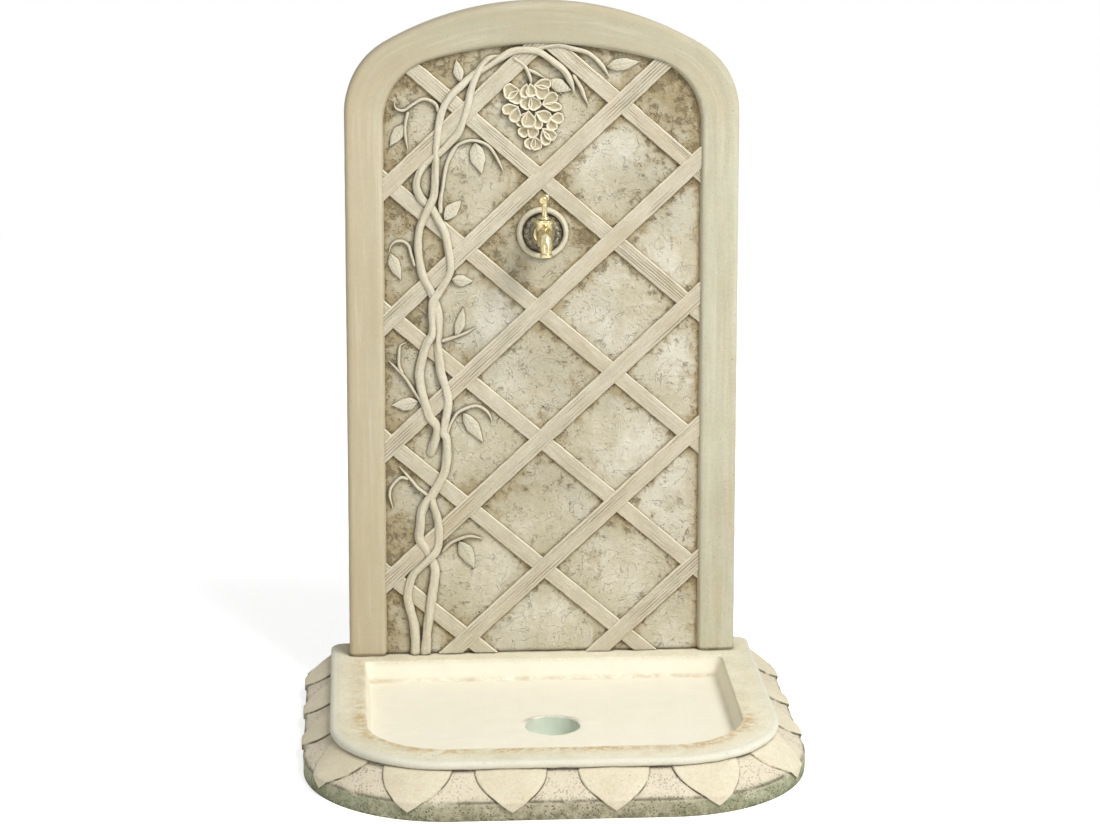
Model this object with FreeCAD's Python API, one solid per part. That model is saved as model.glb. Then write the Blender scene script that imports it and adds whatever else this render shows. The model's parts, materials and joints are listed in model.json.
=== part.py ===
import FreeCAD, Part
import os
from math import atan2, cos, degrees, hypot, pi, radians, sin, sqrt, tan

# Garden wall fountain: a cast-stone trough with a leaf frieze carries a tall framed panel
# with a trellis, a vine and a flower cluster in relief, and a small brass cock with a T key.
# Millimetres. X is to the right, Y runs back to the wall, Z is up.
# The origin is on the ground, in the middle of the fountain's width and depth.

Vector = FreeCAD.Vector
X_AXIS = Vector(1, 0, 0)
Y_AXIS = Vector(0, 1, 0)
Z_AXIS = Vector(0, 0, 1)

# Basin: overall plan
basin_depth = 506.0
basin_back_width = 652.0
basin_side_taper = 8.0
base_corner_radius = 186.0
back_corner_radius = 6.0

# Basin: heights of the base band, the sloping frieze and the rim
base_band_height = 23.0
frieze_height = 27.0
rim_thickness = 13.0
frieze_run = 40.0
nose_overhang = 6.0
nose_radius = 11.0
nose_flats = 3
frieze_top_z = base_band_height + frieze_height
rim_z = frieze_top_z + rim_thickness

# Basin: bowl and drain
bowl_depth = 27.0
bowl_rim_width = 47.0
bowl_back_ledge = 81.0
bowl_back_radius = 12.0
bowl_draft = 6.0
bowl_lip = 3.0
drain_radius = 34.5
drain_from_wall = 274.0
floor_z = rim_z - bowl_depth

# Frieze: leaf tongues lie on the slope and hang over the base band
leaf_thickness = 5.0
leaf_width = 88.0
leaf_overhang = 13.0
front_leaf_share = 0.47
corner_leaf_turns = (17.0, 60.0)
side_leaf_start = 42.0
side_leaf_pitch = 116.5
leaf_edge = ((1.0, 1.0), (0.9, 0.72), (0.68, 0.47), (0.38, 0.26), (0.0, 0.0))
wall_y = (basin_depth + leaf_thickness) / 2
front_y = wall_y - basin_depth

# Back panel
panel_height = 883.0
panel_base_width = 530.0
panel_top_width = 520.0
panel_thickness = 50.0
panel_corner_radius = 105.0
panel_top_radius = 420.0
frame_width = 52.0
frame_top_width = 57.0
frame_relief = 9.0
frame_edge = 5.0
frame_splay = 3.0
field_corner_radius = 85.0
field_top_radius = 560.0

# Trellis: the laths' angles, and their heights above the rim at the panel's centre line
lath_relief = 5.0
rising_width = 22.7
falling_width = 21.0
rising_angle = 43.0
falling_angle = 40.5
rising_heights = (-71.0, 118.0, 301.0, 483.0, 655.0, 834.0)
falling_heights = (-66.0, 121.0, 297.0, 472.0, 651.0, 838.0)

# Vine
stem_width = 14.0
stem_rise = 10.0
shoot_width = 7.0
tendril_width = 5.5
tendril_rise = 6.0
leaf_rise = 5.0

# Flower cluster
floret_width = 26.0
floret_rise = 9.0
petal_wall = 2.2
floret_sides = 8

# Stone ring and cock position, height above the rim
tap_height = 580.0
ring_outer_radius = 35.0
ring_width = 8.5
ring_rise = 8.0
ring_sides = 40
tap_z = rim_z + tap_height

# Water tube through the panel, thread sizes for a half inch pipe
tube_outer_radius = 14.0
inlet_thread_radius = 9.3
tail_radius = 10.4
tail_length = 20.0
thread_clearance = 0.05

# Rosette
rosette_radius = 25.5
rosette_rise = 8.0
rosette_wall = 1.5
rosette_flutes = 16
flute_share = 0.03
washer_radius = 14.0
washer_thickness = 2.0

# Cock: housing stands in front of the field, on a horizontal neck
neck_radius = 8.0
collar_radius = 13.0
collar_length = 5.0
housing_from_field = 46.0
housing_top_radius = 12.5
housing_low_radius = 11.0
housing_above_axis = 23.0
housing_below_axis = 13.0
shoulder_height = 4.0
spout_radius = 7.2
spout_bend = 16.0
spout_steps = 4
spout_sides = 14
spout_reach = 38.0
spout_drop = 17.0
mouth_bore_radius = 4.6
lip_radius = 8.2
lip_height = 4.0

# Turning plug and its key
plug_radius = 6.4
screw_radius = 2.8
plug_clearance = 0.05
plug_bore_radius = 3.5
dome_radius = 7.6
dome_height = 4.5
turned_sides = 16
key_stem_radius = 3.7
key_bar_height = 50.0
key_bar_radius = 2.4
key_bar_length = 34.0
key_rest_turn = 10.0
key_end_radius = 5.0
key_end_length = 8.0
nut_across_flats = 11.0
nut_height = 4.0
plug_washer_radius = 7.5
plug_washer_thickness = 1.2
running_gap = 0.3

# Hidden joining pieces
dowel_radius = 6.0
dowel_depth_in_basin = 25.0
dowel_depth_in_panel = 30.0
dowel_spacing = 380.0
dowel_clearance = 0.3
anchor_spacing = 300.0
anchor_height = 640.0
anchor_outer_radius = 8.0
anchor_length = 35.0
anchor_thread_radius = 3.4
anchor_thread_depth = 28.0

# Places that follow from the sizes above
field_y = wall_y - panel_thickness
frame_y = field_y - frame_relief
axis_y = field_y - housing_from_field
field_top = panel_height - frame_top_width
field_base_half = panel_base_width / 2 - frame_width
field_top_half = panel_top_width / 2 - frame_width
dowel_y = wall_y - panel_thickness / 2
parts = {}


def rounded_wire(corners, radii, place):
    """Closed wire through the corners, with an arc of the given radius at each one."""
    edges = []
    starts = []
    count = len(corners)
    for i in range(count):
        here = Vector(*corners[i], 0)
        before = Vector(*corners[i - 1], 0)
        after = Vector(*corners[(i + 1) % count], 0)
        to_before = (before - here).normalize()
        to_after = (after - here).normalize()
        half_angle = to_before.getAngle(to_after) / 2
        if radii[i] <= 0:
            starts.append((here, here, here))
            continue
        reach = radii[i] / tan(half_angle)
        inward = (to_before + to_after).normalize()
        middle = here + inward * (radii[i] / sin(half_angle) - radii[i])
        starts.append((here + to_before * reach, middle, here + to_after * reach))
    for i in range(count):
        first, middle, last = (place(p) for p in starts[i])
        if radii[i] > 0:
            edges.append(Part.Arc(first, middle, last).toShape())
        onward = place(starts[(i + 1) % count][0])
        if last.distanceToPoint(onward) > 1e-6:
            edges.append(Part.LineSegment(last, onward).toShape())
    return Part.Wire(edges)


def plan_wire(inset, z):
    """Outline of the basin at height z, drawn in from the sides and front."""
    back = basin_back_width / 2 - inset
    front = back - basin_side_taper
    corner = base_corner_radius - inset
    corners = [(-back, wall_y), (-front, front_y + inset), (front, front_y + inset), (back, wall_y)]
    radii = [back_corner_radius, corner, corner, back_corner_radius]
    return rounded_wire(corners, radii, lambda p: Vector(p.x, p.y, z))


def bowl_wire(inset, z):
    """Outline of the bowl at height z."""
    side = frieze_run - nose_overhang + bowl_rim_width + inset
    back = basin_back_width / 2 - side
    front = back - basin_side_taper
    corner = base_corner_radius - side
    back_y = wall_y - bowl_back_ledge - inset
    corners = [(-back, back_y), (-front, front_y + side), (front, front_y + side), (back, back_y)]
    radii = [bowl_back_radius, corner, corner, bowl_back_radius]
    return rounded_wire(corners, radii, lambda p: Vector(p.x, p.y, z))


def ruled_solid(low, high):
    return Part.makeLoft([low, high], True, True)


def polygon(points):
    return Part.Face(Part.makePolygon(points + points[:1]))


def prism(wire, direction):
    return Part.Face(wire).extrude(direction)


def cylinder(radius, length, base, direction=Z_AXIS):
    return Part.makeCylinder(radius, length, base, direction)


def faceted(points, base, direction, sides, flute=0.0):
    """Turned shape in flats, from (radius, distance along the axis) points; the flats may be fluted."""
    rings = []
    for i in range(sides):
        turn = 2 * pi * i / sides
        share = 1 - flute * (i % 2)
        rings.append([Vector(r * share * cos(turn), r * share * sin(turn), h) for r, h in points])
    faces = []
    for i in range(sides):
        here = rings[i]
        onward = rings[(i + 1) % sides]
        for j in range(len(points)):
            k = (j + 1) % len(points)
            corners = [here[j], onward[j], onward[k], here[k]]
            if points[j][0] <= 0 and points[k][0] <= 0:
                continue
            if points[j][0] <= 0:
                corners.pop(1)
            elif points[k][0] <= 0:
                corners.pop(2)
            faces.append(polygon(corners))
    solid = Part.makeSolid(Part.makeShell(faces))
    solid.Placement = FreeCAD.Placement(base, FreeCAD.Rotation(Z_AXIS, direction))
    return solid


def pipe(points, radius, sides):
    """Bent pipe in flats along a path in the middle plane, with mitred joints."""
    runs = [(after - before).normalize() for before, after in zip(points, points[1:])]
    rings = []
    for i, point in enumerate(points):
        into = runs[max(i - 1, 0)]
        out = runs[min(i, len(runs) - 1)]
        rise = (into + out).normalize().cross(X_AXIS) * (radius / cos(into.getAngle(out) / 2))
        turns = [2 * pi * (j + 0.5) / sides for j in range(sides)]
        rings.append([point + X_AXIS * (radius * cos(t)) + rise * sin(t) for t in turns])
    faces = [polygon(rings[0]), polygon(rings[-1])]
    for low, high in zip(rings, rings[1:]):
        for j in range(sides):
            k = (j + 1) % sides
            faces.append(polygon([low[j], low[k], high[k], high[j]]))
    return Part.makeSolid(Part.makeShell(faces))


def fuse_all(shapes):
    joined = shapes[0]
    if len(shapes) > 1:
        joined = joined.multiFuse(shapes[1:])
    return joined.removeSplitter()


def in_relief(x, height, forward=0.0):
    """Point on the panel's field: x across, height above the rim, forward of the field."""
    return Vector(x, field_y - forward, rim_z + height)


def basin_core():
    """Base band, sloping frieze and rim; the rim's nose is rounded in three flats."""
    band = prism(plan_wire(0, 0), Z_AXIS * base_band_height)
    frieze = ruled_solid(plan_wire(0, base_band_height), plan_wire(frieze_run, frieze_top_z))
    nose_inset = frieze_run - nose_overhang
    turns = [radians(90.0 * i / nose_flats) for i in range(nose_flats + 1)]
    levels = [(nose_inset, frieze_top_z)]
    levels += [(nose_inset + nose_radius * (1 - cos(t)), rim_z - nose_radius * (1 - sin(t))) for t in turns]
    rim = [ruled_solid(plan_wire(*low), plan_wire(*high)) for low, high in zip(levels, levels[1:])]
    return fuse_all([band, frieze] + rim)


def make_basin():
    lip_z = rim_z - bowl_lip
    bowl = ruled_solid(bowl_wire(bowl_draft, floor_z), bowl_wire(bowl_lip, lip_z))
    lip = ruled_solid(bowl_wire(bowl_lip, lip_z), bowl_wire(0, rim_z))
    drain = cylinder(drain_radius, rim_z, Vector(0, wall_y - drain_from_wall, 0))
    return basin_core().cut(bowl.fuse(lip)).cut(drain).cut(dowel_set(dowel_clearance))


def leaf_layer():
    """Skin of leaf thickness over the slope and the upper part of the base band."""
    low_z = base_band_height - leaf_overhang
    band = prism(plan_wire(-leaf_thickness, low_z), Z_AXIS * leaf_overhang)
    slope = ruled_solid(plan_wire(-leaf_thickness, base_band_height),
                        plan_wire(frieze_run - leaf_thickness, frieze_top_z))
    return band.fuse(slope).cut(basin_core())


def leaf_cutter(depth):
    """Pointed tongue seen from outside, as a prism along -Y with its root at y = 0."""
    tip_z = base_band_height - leaf_overhang
    half = leaf_width / 2
    rise = frieze_top_z - tip_z
    edge = [(half * out, tip_z + rise * up) for out, up in leaf_edge]
    left = [Vector(-x, 0, z) for x, z in edge]
    right = [Vector(x, 0, z) for x, z in reversed(edge[:-1])]
    return polygon(left + right).extrude(Y_AXIS * -depth)


def leaf_places():
    """Points on the base outline and outward turns of the leaves, left and right alike."""
    places = []
    corner_x = basin_back_width / 2 - basin_side_taper - base_corner_radius
    corner_y = front_y + base_corner_radius
    for side in (-1, 1):
        places.append((side * corner_x * front_leaf_share, front_y, 0.0))
        for turn in corner_leaf_turns:
            places.append((side * (corner_x + base_corner_radius * sin(radians(turn))),
                           corner_y - base_corner_radius * cos(radians(turn)), side * turn))
        y = corner_y + side_leaf_start
        while y + leaf_width / 2 < wall_y:
            places.append((side * basin_back_width / 2, y, side * 90.0))
            y += side_leaf_pitch
    return places


def make_frieze_leaves():
    layer = leaf_layer()
    depth = frieze_run + leaf_thickness + 30
    leaves = []
    for x, y, turn in leaf_places():
        cutter = leaf_cutter(depth)
        cutter.Placement = FreeCAD.Placement(Vector(0, 0, 0), FreeCAD.Rotation(Z_AXIS, turn))
        outward = Vector(sin(radians(turn)), -cos(radians(turn)), 0)
        cutter.translate(Vector(x, y, 0) - outward * (depth - 15))
        leaves.extend(layer.common(cutter).Solids)
    return Part.makeCompound(leaves)


def arch_wire(base_half, top_half, height, corner_radius, top_radius, y, low=0.0):
    """Basket arch: straight sides, two corner arcs and a shallow top arc that meet smoothly."""
    corner_x = top_half - corner_radius
    corner_z = height - top_radius + sqrt((top_radius - corner_radius) ** 2 - corner_x ** 2)
    lean = atan2(corner_x, corner_z - height + top_radius)
    side_angle = pi / 2
    half_way = (side_angle + lean) / 2

    def at(x, z):
        return Vector(x, y, rim_z + z)

    joint_x = corner_x + corner_radius * sin(lean)
    joint_z = corner_z + corner_radius * cos(lean)
    mid_x = corner_x + corner_radius * sin(half_way)
    mid_z = corner_z + corner_radius * cos(half_way)
    edges = [Part.LineSegment(at(-base_half, low), at(base_half, low)).toShape(),
             Part.LineSegment(at(base_half, low), at(top_half, corner_z)).toShape(),
             Part.Arc(at(top_half, corner_z), at(mid_x, mid_z), at(joint_x, joint_z)).toShape(),
             Part.Arc(at(joint_x, joint_z), at(0, height), at(-joint_x, joint_z)).toShape(),
             Part.Arc(at(-joint_x, joint_z), at(-mid_x, mid_z), at(-top_half, corner_z)).toShape(),
             Part.LineSegment(at(-top_half, corner_z), at(-base_half, low)).toShape()]
    return Part.Wire(edges)


def field_wire(grow, y, low=0.0):
    return arch_wire(field_base_half + grow, field_top_half + grow, field_top + grow,
                     field_corner_radius + grow, field_top_radius + grow, y, low)


def make_back_panel():
    inset = frame_edge
    outer = (panel_base_width / 2, panel_top_width / 2, panel_height, panel_corner_radius, panel_top_radius)
    inner = [size - inset for size in outer]
    slab = prism(arch_wire(*outer, wall_y), Vector(0, frame_y + inset - wall_y, 0))
    bevel = ruled_solid(arch_wire(*outer, frame_y + inset), arch_wire(*inner, frame_y))
    recess = ruled_solid(field_wire(0, field_y, -1), field_wire(frame_splay, frame_y - 1, -1))
    tube_hole = cylinder(tube_outer_radius, panel_thickness, Vector(0, field_y, tap_z), Y_AXIS)
    panel = slab.fuse(bevel).cut(recess)
    return panel.cut(tube_hole).cut(dowel_set(dowel_clearance)).cut(anchor_plugs())


def field_block(relief):
    """The field's own shape, as thick as the relief, for trimming the laths."""
    return prism(field_wire(0, field_y), Vector(0, -relief, 0))


def lath(height, angle, width, relief):
    """One straight lath across the whole field, through the centre line at a height."""
    length = 2 * hypot(panel_base_width, panel_height)
    bar = Part.makeBox(length, relief, width, Vector(-length / 2, -relief, -width / 2))
    bar.rotate(Vector(0, 0, 0), Y_AXIS, -angle)
    bar.translate(in_relief(0, height))
    return bar


def make_laths(heights, angle, width, relief, over=None):
    block = field_block(relief)
    laths = []
    for height in heights:
        strip = lath(height, angle, width, relief).common(block)
        if over is not None:
            strip = strip.cut(over)
        laths.extend(strip.Solids)
    return laths


def relief_section(width, rise, flats):
    """Points across a stem from one edge to the other: how far to the side, and how far forward."""
    turns = [pi * i / flats for i in range(flats + 1)]
    return [(-width / 2 * cos(t), rise * sin(t) ** 0.6) for t in turns]


def stem(route, width, rise, flats):
    """Stem along a route on the field, with mitred joints and its flat side on the field."""
    points = [in_relief(x, z) for x, z in route]
    runs = [(after - before).normalize() for before, after in zip(points, points[1:])]
    rings = []
    for i, point in enumerate(points):
        into = runs[max(i - 1, 0)]
        out = runs[min(i, len(runs) - 1)]
        across = (into + out).normalize().cross(Y_AXIS)
        stretch = 1 / cos(into.getAngle(out) / 2)
        rings.append([point + across * (side * stretch) - Y_AXIS * forward
                      for side, forward in relief_section(width, rise, flats)])
    faces = [polygon(rings[0]), polygon(rings[-1])]
    for low, high in zip(rings, rings[1:]):
        for j in range(flats + 1):
            k = (j + 1) % (flats + 1)
            faces.append(polygon([low[j], low[k], high[k], high[j]]))
    return Part.makeSolid(Part.makeShell(faces))


# Routes of the vine on the field, x from the centre line and height above the rim
main_stem = ((-160, 0), (-155, 58), (-148, 110), (-165, 165), (-162, 208), (-135, 248), (-129, 295),
             (-129, 350), (-138, 412), (-140, 475), (-162, 535), (-163, 588), (-143, 640),
             (-137, 715), (-122, 760), (-84, 797), (-56, 812))
left_stem = ((-176, 0), (-180, 62), (-178, 112), (-145, 148), (-141, 192), (-152, 232))
second_stem = ((-156, 268), (-143, 315), (-160, 358), (-163, 398), (-148, 440), (-147, 486),
               (-124, 532), (-128, 576), (-163, 632), (-158, 668), (-112, 712), (-94, 768),
               (-62, 808), (-10, 822), (28, 794), (41, 766))
shoot_routes = (((-113, 692), (-131, 652), (-135, 604)),
                ((-9, 822), (45, 822), (70, 806), (87, 785)),
                ((39, 788), (52, 768), (60, 748)),
                ((-158, 346), (-187, 388), (-206, 410)),
                ((-153, 222), (-176, 244), (-194, 265)))
tendril_routes = (((-135, 736), (-143, 752), (-160, 757), (-180, 742), (-192, 745), (-195, 754)),
                  ((-176, 743), (-181, 718), (-177, 691)),
                  ((-118, 692), (-100, 703), (-80, 700), (-62, 682), (-51, 658)),
                  ((-169, 536), (-176, 562), (-190, 571), (-201, 564), (-203, 554)),
                  ((-136, 436), (-112, 442), (-88, 455)),
                  ((-188, 390), (-194, 412), (-190, 428), (-182, 434)),
                  ((-130, 307), (-119, 335), (-96, 347), (-76, 342), (-68, 324)),
                  ((-180, 247), (-192, 249), (-206, 237), (-207, 222), (-203, 207)),
                  ((-140, 142), (-120, 160), (-98, 167), (-79, 161)),
                  ((-40, 811), (-22, 796), (-15, 782)))
leaf_sprays = ((-107, 779, -113, 810, 13), (-182, 724, -201, 694, 14), (-89, 701, -80, 657, 19),
               (-131, 597, -107, 625, 17), (-202, 556, -188, 517, 14), (-120, 520, -90, 516, 15),
               (-116, 440, -106, 483, 13), (-166, 354, -203, 348, 17), (-107, 338, -79, 295, 17),
               (-114, 160, -92, 119, 18), (84, 797, 130, 804, 15), (3, 784, 42, 764, 22))


def make_vine_stems(under):
    stems = [stem(route, stem_width, stem_rise, 5) for route in (left_stem, main_stem, second_stem)]
    return trimmed(stems, under)


def make_vine_tendrils(under):
    shoots = [stem(route, shoot_width, tendril_rise, 3) for route in shoot_routes]
    curls = [stem(route, tendril_width, tendril_rise, 3) for route in tendril_routes]
    return trimmed(shoots + curls, under)


def trimmed(shapes, under):
    """The shapes without what lies under them, kept inside the frame."""
    keep = prism(field_wire(0, field_y), Vector(0, -30, 0))
    solids = []
    for shape in shapes:
        rest = shape.common(keep)
        for other in under + solids:
            if rest.BoundBox.intersect(other.BoundBox):
                rest = rest.cut(other)
        solids.extend(s for s in rest.Solids if s.Volume > 20)
    return solids


def vine_leaf(x, z, tip_x, tip_z, width):
    """Pointed leaf from its base to its tip, as a low ridge-backed shape on the field."""
    length = hypot(tip_x - x, tip_z - z)
    angle = degrees(atan2(tip_z - z, tip_x - x))
    half = [(0, 0), (0.18, 0.7), (0.42, 1.0), (0.7, 0.7), (1, 0)]
    upper = [Vector(length * along, 0, width / 2 * out) for along, out in half]
    lower = [Vector(length * along, 0, -width / 2 * out) for along, out in reversed(half[1:-1])]
    leaf = polygon(upper + lower).extrude(Vector(0, -leaf_rise, 0))
    leaf.rotate(Vector(0, 0, 0), Y_AXIS, -angle)
    leaf.translate(in_relief(x, z))
    return leaf


def make_vine_leaves(under):
    return trimmed([vine_leaf(*spray) for spray in leaf_sprays], under)


# Florets of the cluster: x, height above the rim and the way that they open, in degrees
florets = ((-46, 764, 160), (-22, 768, 95), (6, 768, 70), (-39, 742, 185), (-14, 748, 250), (14, 748, 20),
           (-44, 729, 215), (-26, 722, 250), (2, 729, 300), (24, 726, 345), (-8, 716, 260), (12, 708, 310),
           (-22, 703, 235), (-8, 694, 265))


def floret(x, z, opening):
    """Shallow cup of flat facets that is deepest towards the side that it opens to."""
    middle = in_relief(x, z)
    lean = Vector(cos(radians(opening)), 0, sin(radians(opening))) * (floret_width * 0.12)
    around = [Vector(cos(2 * pi * i / floret_sides), 0, sin(2 * pi * i / floret_sides)) * (floret_width / 2)
              for i in range(floret_sides)]
    foot = [middle - lean + spoke * 0.6 for spoke in around]
    brim = [middle + spoke - Y_AXIS * floret_rise for spoke in around]
    inside = [middle + spoke * (1 - petal_wall * 2 / floret_width) - Y_AXIS * floret_rise for spoke in around]
    pit = middle - lean - Y_AXIS * petal_wall
    faces = [polygon(foot)]
    for i in range(floret_sides):
        j = (i + 1) % floret_sides
        for a, b, c in ((foot[i], foot[j], brim[j]), (foot[i], brim[j], brim[i]), (inside[i], inside[j], pit)):
            faces.append(polygon([a, b, c]))
        faces.append(polygon([brim[i], brim[j], inside[j], inside[i]]))
    return Part.makeSolid(Part.makeShell(faces))


def make_flower_cluster(under):
    return trimmed([floret(*item) for item in florets], under)


def make_tap_ring():
    inner = ring_outer_radius - ring_width
    bevel = ring_width / 4
    half_rise = ring_rise * 0.6
    return faceted([(inner, 0), (ring_outer_radius, 0), (ring_outer_radius, half_rise),
                    (ring_outer_radius - bevel, ring_rise), (inner + bevel, ring_rise), (inner, half_rise)],
                   Vector(0, field_y, tap_z), Vector(0, -1, 0), ring_sides)


def make_inlet_tube():
    """Tube through the panel: the cock's socket in front, the supply's thread behind."""
    middle = Vector(0, field_y, tap_z)
    tube = cylinder(tube_outer_radius, panel_thickness, middle, Y_AXIS)
    front = cylinder(tail_radius + thread_clearance, tail_length, middle, Y_AXIS)
    back = cylinder(inlet_thread_radius, panel_thickness, middle, Y_AXIS)
    return tube.cut(front).cut(back)


def dowel_set(clearance=0.0):
    """The two dowels, or their holes when a clearance is given."""
    length = dowel_depth_in_basin + dowel_depth_in_panel + clearance
    low = rim_z - dowel_depth_in_basin
    pair = [cylinder(dowel_radius + clearance, length, Vector(side * dowel_spacing / 2, dowel_y, low))
            for side in (-1, 1)]
    return Part.makeCompound(pair)


def anchor_plugs(bored=False):
    """Threaded wall sockets, set flush in the back of the panel."""
    sockets = []
    for side in (-1, 1):
        place = Vector(side * anchor_spacing / 2, wall_y - anchor_length, rim_z + anchor_height)
        socket = cylinder(anchor_outer_radius, anchor_length, place, Y_AXIS)
        if bored:
            mouth = place + Y_AXIS * (anchor_length - anchor_thread_depth)
            socket = socket.cut(cylinder(anchor_thread_radius, anchor_thread_depth, mouth, Y_AXIS))
        sockets.append(socket)
    return Part.makeCompound(sockets)


def make_wall_rosette():
    """Fluted dish with a rolled rim and a raised middle, over the tube's mouth."""
    hole = (tail_radius + running_gap) / (1 - flute_share)
    seat = rosette_rise
    profile = [(hole, 0), (hole + rosette_wall, 0), (washer_radius + 2, seat - rosette_wall),
               (rosette_radius - 3, 0), (rosette_radius, 0), (rosette_radius, rosette_wall + 1.5),
               (washer_radius + 2, seat), (hole, seat)]
    return faceted(profile, Vector(0, field_y, tap_z), Vector(0, -1, 0), 2 * rosette_flutes, flute_share)


def make_rosette_washer():
    inner = tail_radius + running_gap
    seat = Vector(0, field_y - rosette_rise, tap_z)
    return faceted([(inner, 0), (washer_radius, 0), (washer_radius, washer_thickness),
                    (inner, washer_thickness)], seat, Vector(0, -1, 0), ring_sides)


def make_tap_body():
    """Cock casting: threaded tail, collar, neck, plug housing and a spout that bends down."""
    face_y = field_y - rosette_rise - washer_thickness
    tail_y = field_y + tail_length
    axis = Vector(0, axis_y, tap_z)
    tail = cylinder(tail_radius, tail_y - face_y, Vector(0, face_y, tap_z), Y_AXIS)
    collar = cylinder(collar_radius, collar_length, Vector(0, face_y - collar_length, tap_z), Y_AXIS)
    neck = cylinder(neck_radius, face_y - axis_y, axis, Y_AXIS)
    low = axis - Z_AXIS * housing_below_axis
    housing = cylinder(housing_low_radius, housing_below_axis + housing_above_axis, low)
    shoulder = cylinder(housing_top_radius, shoulder_height, axis + Z_AXIS * (housing_above_axis - shoulder_height))
    mouth = axis - Y_AXIS * spout_reach - Z_AXIS * spout_drop
    turns = [radians(90.0 * (i + 0.5) / spout_steps) for i in range(spout_steps)]
    centre = mouth + Y_AXIS * spout_bend + Z_AXIS * (spout_drop - spout_bend)
    bend = [centre + (Z_AXIS * cos(t) - Y_AXIS * sin(t)) * spout_bend for t in turns]
    spout = pipe([axis] + bend + [mouth], spout_radius, spout_sides)
    lip = cylinder(lip_radius, lip_height, mouth - Z_AXIS * lip_height)
    shell = fuse_all([tail, collar, neck, housing, shoulder, spout, lip])
    inlet = cylinder(mouth_bore_radius, tail_y - axis_y, axis, Y_AXIS)
    outlet = pipe([axis] + bend + [mouth - Z_AXIS * lip_height], mouth_bore_radius, spout_sides)
    seat = cylinder(plug_radius + plug_clearance, housing_below_axis + housing_above_axis, low)
    return shell.cut(inlet).cut(outlet).cut(seat)


def at_rest(shape):
    """The bar or its eye, swung out of the spout's direction as the key stands at rest."""
    swung = shape.copy()
    swung.rotate(Vector(0, axis_y, tap_z), Z_AXIS, -key_rest_turn)
    return swung


def make_key_plug():
    """Turning plug with a cross passage, its screw below, and the domed head and stem above."""
    axis = Vector(0, axis_y, tap_z)
    foot = -housing_below_axis - running_gap - plug_washer_thickness - nut_height
    head = housing_above_axis + running_gap
    top = key_bar_height + key_bar_radius + 2
    screw = cylinder(screw_radius, -housing_below_axis - foot, axis + Z_AXIS * foot)
    plug = cylinder(plug_radius, head + housing_below_axis, axis - Z_AXIS * housing_below_axis)
    dome = faceted([(0, head), (dome_radius, head), (dome_radius, head + 1), (dome_radius * 0.8, head + dome_height * 0.7),
                    (key_stem_radius, head + dome_height), (key_stem_radius, top), (0, top)], axis, Z_AXIS, turned_sides)
    passage = cylinder(plug_bore_radius, 4 * plug_radius, axis - Y_AXIS * (2 * plug_radius), Y_AXIS)
    eye = cylinder(key_bar_radius, 4 * key_stem_radius,
                   axis + Z_AXIS * key_bar_height - Y_AXIS * (2 * key_stem_radius), Y_AXIS)
    return fuse_all([screw, plug, dome]).cut(passage).cut(at_rest(eye))


def make_key_bar():
    """Cross bar pushed through the stem's eye, with a turned barrel on each end."""
    half = key_bar_length / 2
    barrel = half - key_end_length
    bar = cylinder(key_bar_radius, 2 * barrel, Vector(0, axis_y - barrel, tap_z + key_bar_height), Y_AXIS)
    ends = [faceted([(0, 0), (key_end_radius, 0), (key_end_radius, key_end_length), (0, key_end_length)],
                    Vector(0, axis_y + start, tap_z + key_bar_height), Y_AXIS, turned_sides)
            for start in (-half, barrel)]
    return at_rest(fuse_all([bar] + ends))


def make_plug_washer():
    bore = screw_radius + thread_clearance
    low = -housing_below_axis - running_gap - plug_washer_thickness
    return faceted([(bore, low), (plug_washer_radius, low), (plug_washer_radius, low + plug_washer_thickness),
                    (bore, low + plug_washer_thickness)], Vector(0, axis_y, tap_z), Z_AXIS, ring_sides)


def make_plug_nut():
    top = -housing_below_axis - running_gap - plug_washer_thickness
    corner = nut_across_flats / 2 / cos(pi / 6)
    corners = [Vector(corner * cos(i * pi / 3), axis_y + corner * sin(i * pi / 3), tap_z + top)
               for i in range(7)]
    corners[-1] = corners[0]
    nut = prism(Part.makePolygon(corners), Z_AXIS * -nut_height)
    return nut.cut(cylinder(screw_radius, nut_height, Vector(0, axis_y, tap_z + top - nut_height)))


rising = make_laths(rising_heights, rising_angle, rising_width, lath_relief)
falling = make_laths(falling_heights, -falling_angle, falling_width, lath_relief * 0.7,
                     Part.makeCompound(rising))
parts["basin"] = make_basin()
parts["frieze_leaves"] = make_frieze_leaves()
parts["back_panel"] = make_back_panel()
parts["rising_laths"] = Part.makeCompound(rising)
parts["falling_laths"] = Part.makeCompound(falling)
laths = rising + falling
stems = make_vine_stems(laths)
leaves = make_vine_leaves(laths + stems)
cluster = make_flower_cluster(laths + stems + leaves)
tendrils = make_vine_tendrils(laths + stems + leaves + cluster)
parts["vine_stems"] = Part.makeCompound(stems)
parts["vine_leaves"] = Part.makeCompound(leaves)
parts["flower_cluster"] = Part.makeCompound(cluster)
parts["vine_tendrils"] = Part.makeCompound(tendrils)
parts["tap_ring"] = make_tap_ring()
parts["alignment_dowels"] = dowel_set()
parts["anchor_sockets"] = anchor_plugs(True)
parts["inlet_tube"] = make_inlet_tube()
parts["wall_rosette"] = make_wall_rosette()
parts["rosette_washer"] = make_rosette_washer()
parts["tap_body"] = make_tap_body()
parts["key_plug"] = make_key_plug()
parts["key_bar"] = make_key_bar()
parts["plug_washer"] = make_plug_washer()
parts["plug_nut"] = make_plug_nut()

os.makedirs("parts", exist_ok=True)
for name, shape in parts.items():
    box = shape.BoundBox
    print("%-18s solids %2d valid %s volume %.1f cm3 X %.1f %.1f Y %.1f %.1f Z %.1f %.1f" % (
        name, len(shape.Solids), shape.isValid(), shape.Volume / 1000,
        box.XMin, box.XMax, box.YMin, box.YMax, box.ZMin, box.ZMax))
    shape.exportStep("parts/%s.step" % name)
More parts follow.
